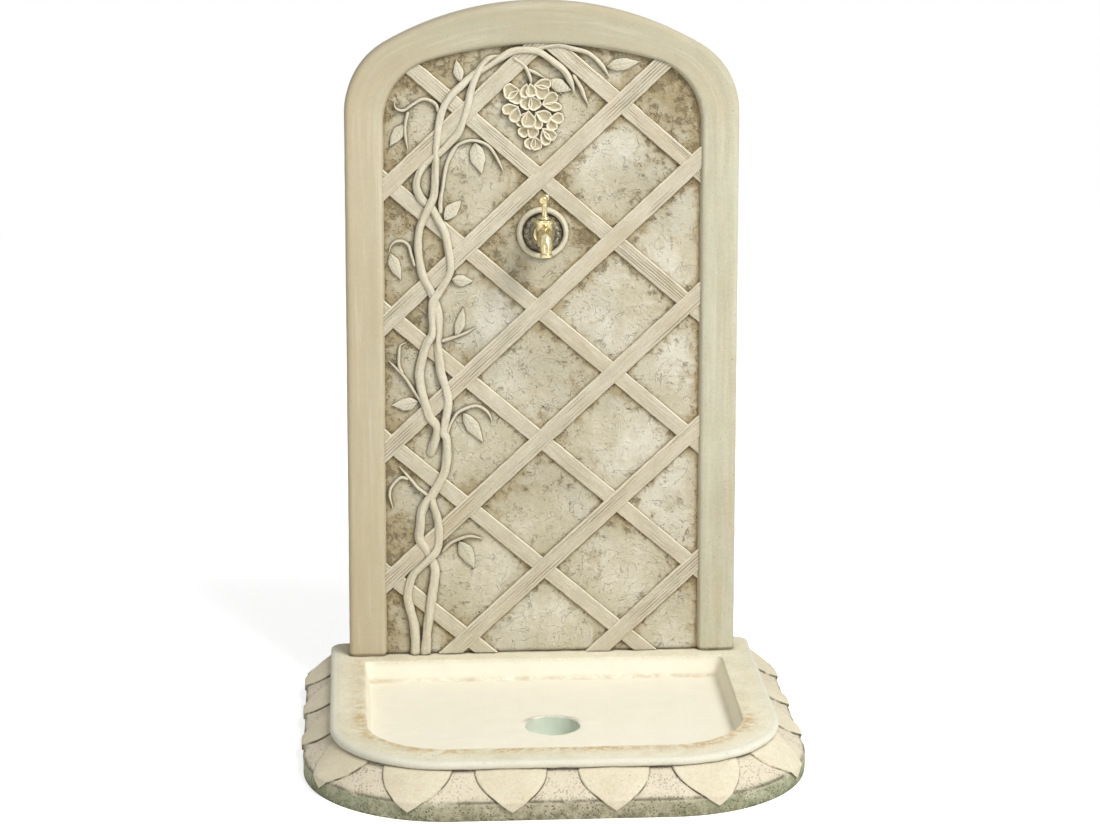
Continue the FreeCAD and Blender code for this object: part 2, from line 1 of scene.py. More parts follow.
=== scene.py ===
"""Dresses the garden wall fountain: cast stone, trellis, vine, flowers and a small brass cock."""

import json
import logging
import math
from dataclasses import dataclass, field
from enum import Enum
from typing import Callable, Optional, Sequence, Union

import bmesh
import bpy
from mathutils import Matrix, Vector, noise

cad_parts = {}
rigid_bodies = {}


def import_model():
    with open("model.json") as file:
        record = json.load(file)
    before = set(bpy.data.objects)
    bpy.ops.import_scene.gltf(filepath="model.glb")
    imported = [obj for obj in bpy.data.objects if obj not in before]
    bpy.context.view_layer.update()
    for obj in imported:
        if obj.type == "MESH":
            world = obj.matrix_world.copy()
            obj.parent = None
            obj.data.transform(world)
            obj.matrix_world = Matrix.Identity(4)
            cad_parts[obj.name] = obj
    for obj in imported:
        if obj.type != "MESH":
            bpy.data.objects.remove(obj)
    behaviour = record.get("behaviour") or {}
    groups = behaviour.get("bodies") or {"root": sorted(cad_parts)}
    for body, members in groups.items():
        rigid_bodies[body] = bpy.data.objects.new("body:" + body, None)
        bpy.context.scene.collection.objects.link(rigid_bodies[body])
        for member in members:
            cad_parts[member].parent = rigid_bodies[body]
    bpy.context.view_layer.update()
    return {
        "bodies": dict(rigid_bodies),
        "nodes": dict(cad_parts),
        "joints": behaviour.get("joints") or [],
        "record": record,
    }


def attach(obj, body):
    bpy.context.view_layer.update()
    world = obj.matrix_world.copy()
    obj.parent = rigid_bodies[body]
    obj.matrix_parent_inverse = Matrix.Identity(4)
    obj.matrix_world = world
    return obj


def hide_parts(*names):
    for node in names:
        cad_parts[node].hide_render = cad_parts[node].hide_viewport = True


log = logging.getLogger("fountain")

MILLIMETRE = 0.001

# In millimetres: how close two points are one, and how deep the relief reaches into the field
SAME_PLACE = 1e-4
SUNK = 2.4

# In millimetres from the middle of the foot: the rim, the wall's face, the trough's front, the field's and
# the frame's face, the tap's height and the cock's axis
RIM_Z = 63.0
WALL_Y = 255.5
FRONT_Y = -250.5
FIELD_Y = 205.5
FRAME_Y = 196.5
TAP_Z = 643.0
COCK_Y = 159.5

Row = list[Vector]
Number = Union[int, float]
Value = Union["Link", Number]
Colour = Union["Link", tuple]
Station = Callable[[float], float]


class Slot(Enum):
    """The record's material slots that pieces here stand for."""

    STONE = "cast_stone"
    BRASS = "tap_brass"
    DARK = "dark_brass"


class Body(Enum):
    """The bodies that a piece can ride on."""

    ROOT = "root"
    KEY = "key"


def tone(red: int, green: int, blue: int) -> tuple[float, float, float, float]:
    """Turns a colour as seen on screen into the linear colour a shader takes.

    Args:
        red: red from 0 to 255.
        green: green from 0 to 255.
        blue: blue from 0 to 255.

    Returns:
        The linear colour with full alpha.
    """
    def linear(value: int) -> float:
        """Undoes the screen's curve."""
        part = value / 255
        return part / 12.92 if part <= 0.04045 else ((part + 0.055) / 1.055) ** 2.4

    return linear(red), linear(green), linear(blue), 1.0


# Shader formulas


class Link:
    """One node output, with the operators that a formula uses."""

    def __init__(self, nodes: "Nodes", socket: bpy.types.NodeSocket) -> None:
        """Keeps the output and the nodes it belongs to."""
        self.nodes = nodes
        self.socket = socket

    def _math(self, operation: str, first: Value, second: Value = 0.0) -> "Link":
        """Adds one Math node for an operator."""
        return self.nodes.node("ShaderNodeMath", {"operation": operation}, {0: first, 1: second})

    def __add__(self, other: Value) -> "Link":
        """Sum."""
        return self._math("ADD", self, other)

    __radd__ = __add__

    def __sub__(self, other: Value) -> "Link":
        """Difference."""
        return self._math("SUBTRACT", self, other)

    def __rsub__(self, other: Number) -> "Link":
        """Difference from a number."""
        return self._math("SUBTRACT", other, self)

    def __mul__(self, other: Value) -> "Link":
        """Product."""
        return self._math("MULTIPLY", self, other)

    __rmul__ = __mul__

    def __abs__(self) -> "Link":
        """Value without its sign."""
        return self._math("ABSOLUTE", self)

    def between(self, low: float, high: float) -> "Link":
        """Stretches the part from low to high over 0 to 1 and clips the rest."""
        return self.nodes.node("ShaderNodeMapRange", {"clamp": True}, {0: self, 1: low, 2: high})


class Nodes:
    """A node tree under construction."""

    def __init__(self, tree: bpy.types.NodeTree) -> None:
        """Starts with an empty tree."""
        self.tree = tree
        self.tree.nodes.clear()

    def node(self, kind: str, settings: Optional[dict] = None, inputs: Optional[dict] = None,
             output: Union[int, str] = 0) -> Optional[Link]:
        """Adds one node.

        Args:
            kind: the node's type.
            settings: its properties.
            inputs: values or links for its sockets, by name or number.
            output: which of its outputs is wanted.

        Returns:
            The chosen output, or nothing for a node that has none.
        """
        made = self.tree.nodes.new(kind)
        for key, value in (settings or {}).items():
            setattr(made, key, value)
        for key, value in (inputs or {}).items():
            if isinstance(value, Link):
                self.tree.links.new(value.socket, made.inputs[key])
            else:
                made.inputs[key].default_value = value
        return Link(self, made.outputs[output]) if made.outputs else None

    def seen(self) -> Link:
        """Tells which rays meet the surroundings directly, in a reflection or through glass.

        Returns:
            1 for those rays and 0 for the rest.
        """
        straight, mirrored, through = (self.node("ShaderNodeLightPath", output=f"Is {kind} Ray")
                                       for kind in ("Camera", "Glossy", "Transmission"))
        return (straight + mirrored + through).between(0.0, 1.0)


class Shader(Nodes):
    """A material under construction."""

    def __init__(self, name: str) -> None:
        """Starts an empty material.

        Args:
            name: the material's name.
        """
        self.material = bpy.data.materials.new(name)
        self.material.use_nodes = True
        super().__init__(self.material.node_tree)

    def place(self) -> Link:
        """The point's own place on the object."""
        return self.node("ShaderNodeTexCoord", output="Object")

    def axis(self, name: str) -> Link:
        """One coordinate of the point's own place, in metres."""
        return self.node("ShaderNodeSeparateXYZ", None, {0: self.place()}, name)

    def marked(self, name: str) -> Link:
        """A value that the piece's points carry."""
        return self.node("ShaderNodeAttribute", {"attribute_name": name}, None, "Fac")

    def wooded(self, squeeze: float) -> Link:
        """The place along and across a wooden pattern in millimetres, squeezed along it."""
        place = {0: self.marked("along") * squeeze, 1: self.marked("across"), 2: self.marked("board")}
        return self.node("ShaderNodeCombineXYZ", None, place)

    def cloud(self, scale: float, detail: float = 4.0, rough: float = 0.55, twist: float = 0.0,
              at: Optional[Link] = None) -> Link:
        """Soft cloudy noise.

        Args:
            scale: patches per unit of the place it reads.
            detail: how many finer layers it has.
            rough: how strong those are.
            twist: how far it is pulled out of shape.
            at: the place it reads, or nothing for the place on the object in metres.

        Returns:
            A value about 0.5.
        """
        return self.node("ShaderNodeTexNoise", {"noise_dimensions": "3D"},
                         {"Vector": at or self.place(), "Scale": scale, "Detail": detail,
                          "Roughness": rough, "Distortion": twist})

    def cells(self, scale: float) -> Link:
        """Distance from the nearest of many scattered points."""
        return self.node("ShaderNodeTexVoronoi", {"feature": "F1"},
                         {"Vector": self.place(), "Scale": scale, "Randomness": 1.0}, "Distance")

    def streaks(self, scale: float, stretch: tuple) -> Link:
        """Cloudy noise with so many patches per metre, pulled out where an axis is squeezed."""
        drawn = self.node("ShaderNodeVectorMath", {"operation": "MULTIPLY"}, {0: self.place(), 1: stretch})
        return self.cloud(scale, 4.0, 0.6, 0.3, drawn)

    def crevice(self, reach: float) -> Link:
        """How shut in a point is, from 0 in the open to 1 in a deep corner."""
        return 1.0 - self.node("ShaderNodeAmbientOcclusion", {"samples": 6}, {"Distance": reach}, "AO")

    def tint(self, share: Value, under: Colour, over: Colour, way: str = "MIX") -> Link:
        """Lays one colour over another.

        Args:
            share: how much of the upper colour shows.
            under: the lower colour.
            over: the upper colour.
            way: the blend type.

        Returns:
            The mixed colour.
        """
        return self.node("ShaderNodeMix", {"data_type": "RGBA", "blend_type": way},
                         {0: share, 6: under, 7: over}, 2)

    def bump(self, height: Link, distance: float, strength: float = 1.0) -> Link:
        """Turns a height into a surface normal.

        Args:
            height: the height, about 0 to 1.
            distance: the real depth of that range in metres.
            strength: how much of it shows.

        Returns:
            The normal.
        """
        sockets = {"Strength": strength, "Distance": distance, "Height": height}
        return self.node("ShaderNodeBump", None, sockets)

    def close(self, **inputs: object) -> bpy.types.Material:
        """Finishes with a principled surface whose sockets take these values."""
        named = {key.replace("_", " "): value for key, value in inputs.items()}
        return self.finish(self.node("ShaderNodeBsdfPrincipled", None, named))

    def finish(self, surface: Link) -> bpy.types.Material:
        """Finishes with any surface."""
        self.node("ShaderNodeOutputMaterial", None, {"Surface": surface})
        return self.material


@dataclass(frozen=True)
class CastStone:
    """Weathered reconstituted stone, and how dirty and rough one part of it is."""

    name: str
    cream: tuple
    sand: tuple
    # How much stain, growth and painted shade with dirt in corners shows, and how far a corner reaches in
    # metres
    ochre: float = 0.30
    growth: float = 0.12
    corner_shade_and_dirt: float = 0.75
    reach: float = 0.010
    # How deep the pits are, how strong the whole relief is, and how strong the painted shade with dirt in the
    # hollows is
    pits: float = 0.30
    grain: float = 0.5
    dull: float = 0.75
    streak: tuple = (1.0, 1.0, 0.22)

    OCHRE = tone(190, 158, 98)
    GROWTH = tone(142, 143, 112)
    DIRT_AND_CORNER_SHADE = tone(98, 86, 60)
    PIT = tone(104, 90, 64)
    SHADE_AND_DIRT_LINE = tone(72, 62, 44)
    RUB_AND_HIGHLIGHT = tone(236, 229, 205)
    SHADE_IN_HOLLOWS = tone(150, 138, 106)
    CLOUDED = tone(222, 219, 214)
    CLEAR = tone(255, 255, 255)
    SHINE = 1.45
    DEPTH = 0.0016

    def layers(self, s: Shader) -> tuple[Link, Link, Link]:
        """Lays the stone's colours.

        Args:
            s: the material.

        Returns:
            Its colour, its relief from 0 to 1, and a middling noise for what is laid over it.
        """
        broad = s.cloud(5.0, 3.0, 0.6)
        middle = s.cloud(36.0, 5.0, 0.62, 0.4)
        fine = s.cloud(260.0, 5.0, 0.72)
        drawn = s.streaks(26.0, self.streak)
        body = (broad * 0.4 + drawn * 0.35 + middle * 0.25).between(0.38, 0.62)
        colour = s.tint(body, self.sand, self.cream)
        stain = s.cloud(12.0, 4.0, 0.6, 1.2).between(0.50, 0.74)
        colour = s.tint(stain * middle.between(0.35, 0.65) * self.ochre, colour, self.OCHRE)
        growth = s.cloud(21.0, 6.0, 0.68, 0.8).between(0.52, 0.70)
        colour = s.tint(growth * self.growth, colour, self.GROWTH)
        # Painted shade with dirt: corners and creases are darkened in the colour by ambient occlusion
        corner = s.crevice(self.reach).between(0.14, 0.66)
        colour = s.tint(corner * (middle * 1.1 + 0.35).between(0.0, 1.0) * self.corner_shade_and_dirt, colour, self.DIRT_AND_CORNER_SHADE)
        pores = s.cells(330.0).between(0.28, 0.14) * s.cloud(70.0, 3.0).between(0.52, 0.62)
        holes = s.cells(120.0).between(0.15, 0.08) * s.cloud(24.0, 2.0).between(0.50, 0.60)
        pitting = (pores * 0.5 + holes).between(0.0, 1.0)
        colour = s.tint(pitting * (0.35 + self.pits * 0.6), colour, self.PIT)
        shade = s.tint(fine.between(0.30, 0.70), self.CLOUDED, self.CLEAR)
        colour = s.tint(0.6, colour, shade, "MULTIPLY")
        return colour, middle * 0.35 + fine * 0.30 - pitting * self.pits, middle

    def edged(self, s: Shader, colour: Link, middle: Link) -> Link:
        """Lays painted shade in the hollows, pale edges of wear and painted highlight, and dark lines of
        painted shade and dirt over a colour.

        Args:
            s: the material.
            colour: the colour under them.
            middle: the middling noise that breaks them up.

        Returns:
            The colour with them.
        """
        # Painted shade with dirt in the hollows and on the flanks
        colour = s.tint(s.marked("hollow_shade") * self.dull, colour, self.SHADE_IN_HOLLOWS)
        # Pale edges: partly wear, partly painted highlight
        colour = s.tint(s.marked("brightened") * middle.between(0.28, 0.52) * 0.8, colour, self.RUB_AND_HIGHLIGHT)
        # Dark lines of painted shade with dirt along creases and edges
        return s.tint(s.marked("line") * middle.between(0.34, 0.52) * 0.9, colour, self.SHADE_AND_DIRT_LINE)

    def material(self) -> bpy.types.Material:
        """Builds the shader.

        Returns:
            The finished material.
        """
        s = Shader(self.name)
        colour, relief, middle = self.layers(s)
        return s.close(Base_Color=self.edged(s, colour, middle), Roughness=0.80 + 0.14 * middle,
                       IOR=self.SHINE, Normal=s.bump(relief, self.DEPTH, self.grain))


@dataclass(frozen=True)
class GrainStone(CastStone):
    """Stone cast from a wooden pattern, whose grain shows as fine pale and dark streaks."""

    # Fine lines and broad bands per millimetre across the grain, and how strong the lines are
    lines: float = 0.10
    bands: float = 0.04
    contrast: float = 0.22
    # How much green the bands carry, and how strong the painted shade is that browns the left side and
    # darkens the top
    green: float = 0.35
    left: float = 0.75

    PALE = tone(230, 224, 206)
    SHADE = tone(166, 156, 130)
    GREEN = tone(192, 195, 170)
    BROWN_STREAK_AND_SHADE = tone(184, 168, 134)

    def material(self) -> bpy.types.Material:
        """Builds the shader.

        Returns:
            The finished material.
        """
        s = Shader(self.name)
        colour, relief, middle = self.layers(s)
        thread = s.cloud(self.lines, 5.0, 0.68, 0.15, s.wooded(0.05))
        band = s.cloud(self.bands, 3.0, 0.6, 0.0, s.wooded(0.14))
        colour = s.tint(band.between(0.50, 0.64) * self.green, colour, self.GREEN)
        colour = s.tint(band.between(0.48, 0.36) * 0.30, colour, self.BROWN_STREAK_AND_SHADE)
        # Painted shade: the left side is browned and the top darkened
        colour = s.tint(s.axis("X").between(-0.10, -0.28) * self.left, colour, self.BROWN_STREAK_AND_SHADE)
        colour = s.tint(s.axis("Z").between(0.80, 0.95) * self.left, colour, self.SHADE)
        colour = s.tint(thread.between(0.52, 0.70) * self.contrast, colour, self.PALE)
        colour = s.tint(thread.between(0.47, 0.32) * self.contrast, colour, self.SHADE)
        return s.close(Base_Color=self.edged(s, colour, middle), Roughness=0.80 + 0.14 * middle,
                       IOR=self.SHINE, Normal=s.bump(relief + thread * self.contrast, self.DEPTH, self.grain))


@dataclass(frozen=True)
class FieldStone(CastStone):
    """The rough ground between the laths, trowelled, stained and pitted."""

    BROWN = tone(152, 136, 100)
    DARK_SPECK_AND_SHADE = tone(102, 88, 60)
    SHADE_AND_DIRT_VEIL = tone(158, 148, 118)
    CHALK = tone(228, 224, 210)
    GREY = tone(178, 174, 156)
    RUST = tone(176, 146, 100)
    DEPTH = 0.0022

    def material(self) -> bpy.types.Material:
        """Builds the shader.

        Returns:
            The finished material.
        """
        s = Shader(self.name)
        colour, relief, middle = self.layers(s)
        shut, grime_and_shade, rust = (s.marked(name) for name in ("shut_in", "grime_and_shade", "rust"))
        blotch = s.cloud(26.0, 7.0, 0.70, 0.6)
        curd = s.cloud(95.0, 6.0, 0.66, 0.2)
        worm = s.cloud(34.0, 2.0, 0.50, 1.6)
        grit = s.cloud(420.0, 3.0, 0.7)
        scratch = abs(worm - 0.5).between(0.020, 0.0) * curd.between(0.46, 0.56)
        clean = 1.0 - (grime_and_shade + shut * 0.35).between(0.0, 0.8)
        chalk = clean * (curd * 0.35 + s.cloud(13.0, 3.0, 0.5) * 0.65).between(0.43, 0.60)
        colour = s.tint(chalk * 0.58, colour, self.CHALK)
        colour = s.tint(s.cloud(9.0, 3.0).between(0.50, 0.62) * 0.35, colour, self.GREY)
        # Painted shade with dirt: the veil, the brown stain and the dark specks grow round and under the
        # laths and the frame and on the darker spots
        shade_and_dirt_veil = (grime_and_shade * 0.60 + shut * 0.30).between(0.0, 1.0) * (blotch * 0.8 + 0.3)
        colour = s.tint(shade_and_dirt_veil, colour, self.SHADE_AND_DIRT_VEIL)
        stain = (blotch * 0.7 + curd * 0.3 + grime_and_shade * 0.085 + shut * 0.165 - 0.568).between(0.0, 0.12)
        colour = s.tint(stain * 0.75, colour, self.BROWN)
        deep = (curd + grime_and_shade * 0.07 + shut * 0.110 - 0.636).between(0.0, 0.11)
        colour = s.tint(deep * 0.60, colour, self.DARK_SPECK_AND_SHADE)
        colour = s.tint(scratch * (0.05 + 0.25 * stain), colour, self.BROWN)
        colour = s.tint(rust * curd.between(0.36, 0.58) * 0.8, colour, self.RUST)
        # Painted shade with dirt in corners, from ambient occlusion
        corner = s.crevice(0.005).between(0.18, 0.46)
        colour = s.tint(corner * (0.25 + 0.6 * curd), colour, self.DARK_SPECK_AND_SHADE)
        speck = s.cells(210.0).between(0.32, 0.18) * s.cloud(40.0, 3.0, 0.6).between(0.50, 0.60)
        colour = s.tint(speck * (0.14 + 0.36 * stain), colour, self.DARK_SPECK_AND_SHADE)
        ground = relief + curd * 0.5 + blotch - deep * 0.5 - scratch * 0.5 + grit * 0.28 - speck * 0.4
        return s.close(Base_Color=self.edged(s, colour, middle), Roughness=0.84 + 0.12 * middle,
                       IOR=self.SHINE, Normal=s.bump(ground, self.DEPTH, self.grain))


@dataclass(frozen=True)
class TroughStone(CastStone):
    """The trough: smooth rim, pale bowl, rough pitted ground under the rim and a damp green foot."""

    BOWL = tone(233, 228, 211)
    ROUGH = tone(206, 194, 172)
    SPECK = tone(88, 78, 60)
    DAMP = tone(142, 136, 106)
    MOSS = tone(124, 136, 98)
    DARK_DAMP = tone(84, 86, 60)
    DRAIN_BORE_SHADE = tone(192, 205, 188)
    IRON = tone(184, 154, 100)
    NOSE_HIGHLIGHT = tone(206, 206, 192)
    FOOT = tone(168, 146, 100)

    def material(self) -> bpy.types.Material:
        """Builds the shader.

        Returns:
            The finished material.
        """
        s = Shader(self.name)
        colour, relief, middle = self.layers(s)
        bowl, ground, lip, drain = (s.marked(name) for name in ("bowl", "ground", "lip", "drain"))
        height = s.axis("Z")
        colour = s.tint(bowl * 0.8, colour, self.BOWL)
        # Painted highlight: a cool pale tint on the rounded nose
        colour = s.tint(s.marked("nose") * 0.60, colour, self.NOSE_HIGHLIGHT)
        iron = s.cloud(28.0, 5.0, 0.65, 0.8)
        rusty = lip * iron.between(0.40, 0.54) * s.cloud(110.0, 4.0, 0.7).between(0.36, 0.56)
        colour = s.tint(rusty * 0.85, colour, self.IRON)
        colour = s.tint(s.marked("foot") * iron.between(0.42, 0.60) * 0.55, colour, self.FOOT)
        # Painted shade: the drain's bore is tinted a cool grey-green
        colour = s.tint(drain * 0.75, colour, self.DRAIN_BORE_SHADE)
        colour = s.tint(ground * (middle.between(0.25, 0.65) * 0.4 + 0.4), colour, self.ROUGH)
        speck = s.cells(300.0).between(0.44, 0.20) * s.cloud(55.0, 4.0, 0.65).between(0.38, 0.54)
        damp = (0.0275 - height + 0.010 * middle - 0.005).between(0.0, 0.010)
        mottle = s.cloud(48.0, 5.0, 0.7, 0.5)
        wet = s.tint(abs(s.axis("X")).between(0.12, 0.26), self.DAMP, self.MOSS)
        colour = s.tint(ground * damp * (mottle.between(0.28, 0.62) * 0.6 + 0.35), colour, wet)
        colour = s.tint(ground * speck * (0.40 + 0.40 * damp), colour, self.SPECK)
        low = (0.013 - height + 0.012 * mottle).between(0.004, 0.016)
        soaked = ground * low * s.cloud(190.0, 4.0, 0.7).between(0.38, 0.60)
        colour = s.tint(soaked * 0.75, colour, self.DARK_DAMP)
        coarse = s.cloud(150.0, 5.0, 0.7, 0.4) * 0.8 - speck * 0.8
        surface = relief * (1.0 - bowl * 0.55) + ground * coarse
        return s.close(Base_Color=self.edged(s, colour, middle), Roughness=0.80 + 0.14 * middle - 0.10 * bowl,
                       IOR=self.SHINE, Normal=s.bump(surface, self.DEPTH, self.grain))


@dataclass(frozen=True)
class AgedBrass:
    """Brass that has dulled in the open and stays bright on its rubbed edges."""

    name: str
    bright: tuple = tone(226, 212, 172)
    dull: tuple = tone(188, 173, 130)
    dark: tuple = tone(96, 84, 56)
    polish: float = 0.15

    def material(self) -> bpy.types.Material:
        """Builds the shader.

        Returns:
            The finished material.
        """
        s = Shader(self.name)
        patch = s.cloud(160.0, 5.0, 0.62, 0.5)
        fine = s.cloud(900.0, 4.0, 0.6)
        corner = s.crevice(0.004).between(0.12, 0.60)
        colour = s.tint(patch.between(0.36, 0.66), self.dull, self.bright)
        colour = s.tint(corner * 0.85, colour, self.dark)
        colour = s.tint(fine.between(0.62, 0.72) * 0.5, colour, self.dark)
        rough = self.polish + 0.12 * patch + 0.25 * corner
        return s.close(Base_Color=colour, Roughness=rough, Metallic=1.0,
                       Normal=s.bump(patch * 0.6 + fine * 0.4, 0.0003, 0.15))


@dataclass(frozen=True)
class DarkMetal:
    """Dark bronze with a dusty bloom in its hollows."""

    name: str
    ground: tuple = tone(104, 99, 84)
    brightened: tuple = tone(168, 160, 138)
    dust: tuple = tone(66, 61, 48)

    def material(self) -> bpy.types.Material:
        """Builds the shader.

        Returns:
            The finished material.
        """
        s = Shader(self.name)
        patch = s.cloud(210.0, 5.0, 0.65, 0.4)
        fine = s.cloud(1200.0, 3.0)
        corner = s.crevice(0.005).between(0.15, 0.7)
        colour = s.tint(patch.between(0.45, 0.72), self.ground, self.brightened)
        colour = s.tint(corner * 0.8, colour, self.dust)
        return s.close(Base_Color=colour, Roughness=0.34 + 0.25 * patch, Metallic=0.85,
                       Normal=s.bump(patch * 0.6 + fine * 0.4, 0.0005, 0.5))


@dataclass(frozen=True)
class PlainMetal:
    """Zinc-plated steel with a faint turned grain and dull spots."""

    name: str
    light: tuple = tone(190, 190, 186)
    dull: tuple = tone(146, 145, 138)

    def material(self) -> bpy.types.Material:
        """Builds the shader.

        Returns:
            The finished material.
        """
        s = Shader(self.name)
        patch = s.cloud(120.0, 4.0)
        fine = s.cloud(1500.0, 2.0)
        colour = s.tint(patch.between(0.35, 0.65), self.dull, self.light)
        return s.close(Base_Color=colour, Roughness=0.30 + 0.25 * patch, Metallic=1.0,
                       Normal=s.bump(fine, 0.0002, 0.3))


@dataclass(frozen=True)
class FibreDisc:
    """Pressed brown fibre sheet."""

    name: str
    ground: tuple = tone(92, 78, 60)
    fleck: tuple = tone(132, 112, 86)

    def material(self) -> bpy.types.Material:
        """Builds the shader.

        Returns:
            The finished material.
        """
        s = Shader(self.name)
        strand = s.cloud(700.0, 5.0, 0.7, 1.0)
        colour = s.tint(strand.between(0.40, 0.66), self.ground, self.fleck)
        return s.close(Base_Color=colour, Roughness=0.75 + 0.15 * strand, Normal=s.bump(strand, 0.0003, 0.5))


# Mesh tools


def soft(value: float, low: float, high: float) -> float:
    """Goes smoothly from 0 at low to 1 at high."""
    part = min(1.0, max(0.0, (value - low) / (high - low)))
    return part * part * (3.0 - 2.0 * part)


def hump(value: float, centre: float, width: float) -> float:
    """A bell that is 1 at its centre."""
    return math.exp(-((value - centre) / width) ** 2)


def waver(place: Sequence[float], size: float) -> float:
    """Smooth noise from about -1 to 1 with patches of that size."""
    return noise.noise(Vector(place) / size)


def quarter(steps: int) -> list[float]:
    """The angles that divide a right angle into equal steps."""
    return [math.pi / 2 * k / steps for k in range(steps + 1)]


def crosswise(across: int) -> list[float]:
    """Places across a leaf from -1 to 1, closer at its edges, and four back along its underside."""
    return [math.sin(math.pi / 2 * (-1 + 2 * k / across)) for k in range(across + 1)] + [1.0, 0.3, -0.3, -1.0]


def spread(first: Row, last: Row, steps: int) -> list[Row]:
    """The rows that lead in equal steps from one row to another, without the first."""
    return [[a.lerp(b, k / steps) for a, b in zip(first, last)] for k in range(1, steps + 1)]


def on_circle(x: float, h: float, radius: float, turn: float) -> tuple[float, float]:
    """The point of a circle at an angle."""
    return x + radius * math.cos(turn), h + radius * math.sin(turn)


def on_field(spot: Vector, lift: float) -> Vector:
    """The point that stands out by a lift from the field, over a place given as (x, height)."""
    return Vector((spot.x, FIELD_Y - lift, RIM_Z + spot.y))


def loft(rows: Sequence[Row], notes: Optional[dict] = None) -> bmesh.types.BMesh:
    """Lays a skin over rows of points that go round, and closes its ends.

    Args:
        rows: rows with the same number of points each.
        notes: rows of values that the points carry, by name.

    Returns:
        A closed mesh with outward faces.
    """
    across = len(rows[0])
    along = len(rows) - 1
    bm = bmesh.new()
    layers = [(bm.verts.layers.float.new(name), values) for name, values in (notes or {}).items()]
    bmesh.ops.create_grid(bm, x_segments=across, y_segments=along, size=0.5)
    for vertex in bm.verts:
        column = round((vertex.co.x + 0.5) * across)
        row = round((vertex.co.y + 0.5) * along)
        vertex.co = rows[row][column % across]
        for layer, values in layers:
            vertex[layer] = values[row][column % across]
    bmesh.ops.remove_doubles(bm, verts=bm.verts, dist=SAME_PLACE)
    bmesh.ops.dissolve_degenerate(bm, edges=bm.edges, dist=SAME_PLACE / 10)
    close(bm)
    return bm


def close(bm: bmesh.types.BMesh) -> None:
    """Fills what is open and turns the faces outwards.

    Args:
        bm: the mesh.
    """
    rim = [edge for edge in bm.edges if edge.is_boundary]
    if rim:
        bmesh.ops.holes_fill(bm, edges=rim, sides=0)
    bmesh.ops.recalc_face_normals(bm, faces=bm.faces)


def turned(profile: Sequence[tuple[float, float]], centre: Vector, axis: Vector,
           steps: int = 48) -> bmesh.types.BMesh:
    """Turns a profile on a lathe.

    Args:
        profile: (radius, place along the axis) in order.
        centre: where place 0 is.
        axis: the lathe's axis.
        steps: facets round it.

    Returns:
        A closed mesh with outward faces.
    """
    side = Vector((0, 0, 1)) if abs(axis.y) > 0.5 else Vector((1, 0, 0))
    bm = bmesh.new()
    points = [bm.verts.new(centre + axis * along + side * radius) for radius, along in profile]
    lines = [bm.edges.new(pair) for pair in zip(points, points[1:])]
    if profile[0][0] > 0 and profile[-1][0] > 0:
        lines.append(bm.edges.new((points[-1], points[0])))
    bmesh.ops.spin(bm, geom=points + lines, cent=centre, axis=axis, angle=math.tau, steps=steps,
                   use_merge=True, use_duplicate=False)
    bmesh.ops.remove_doubles(bm, verts=bm.verts, dist=SAME_PLACE)
    close(bm)
    return bm


def flowing(points: Sequence[Sequence[float]], step: float) -> list[Vector]:
    """Draws a smooth line through points.

    Args:
        points: the points in order, of any size.
        step: the distance between the new points.

    Returns:
        Points along the smooth line.
    """
    given = [Vector(point) for point in points]
    ends = [given[0] * 2 - given[1]] + given + [given[-1] * 2 - given[-2]]
    line: list[Vector] = []
    for before, start, stop, after in zip(ends, ends[1:], ends[2:], ends[3:]):
        pieces = max(1, round((stop - start).length / step))
        for k in range(pieces):
            t = k / pieces
            bend = 2 * before - 5 * start + 4 * stop - after
            twist = 3 * start - before - 3 * stop + after
            line.append(0.5 * (2 * start + (stop - before) * t + bend * t * t + twist * t ** 3))
    return line + [given[-1]]


def roughen(bm: bmesh.types.BMesh, depth: float, size: float, layers: int = 3,
            keep: Optional[Callable[[Vector], bool]] = None) -> None:
    """Wears a surface inwards unevenly.

    Args:
        bm: the mesh.
        depth: the most it goes in.
        size: the size of the patches.
        layers: how many finer layers there are.
        keep: says which points stay.
    """
    bm.normal_update()
    moves = []
    for vertex in bm.verts:
        if keep is not None and keep(vertex.co):
            continue
        value = noise.fractal(vertex.co / size, 1.0, 2.0, layers)
        moves.append((vertex, vertex.normal * (-depth * min(1.0, max(0.0, 0.5 + 0.5 * value)))))
    for vertex, move in moves:
        vertex.co += move


def placed(name: str, data: bpy.types.ID) -> bpy.types.Object:
    """Puts a mesh, a lamp or a camera into the scene.

    Args:
        name: the object's name.
        data: what it shows.

    Returns:
        The new object.
    """
    made = bpy.data.objects.new(name, data)
    bpy.context.scene.collection.objects.link(made)
    return made


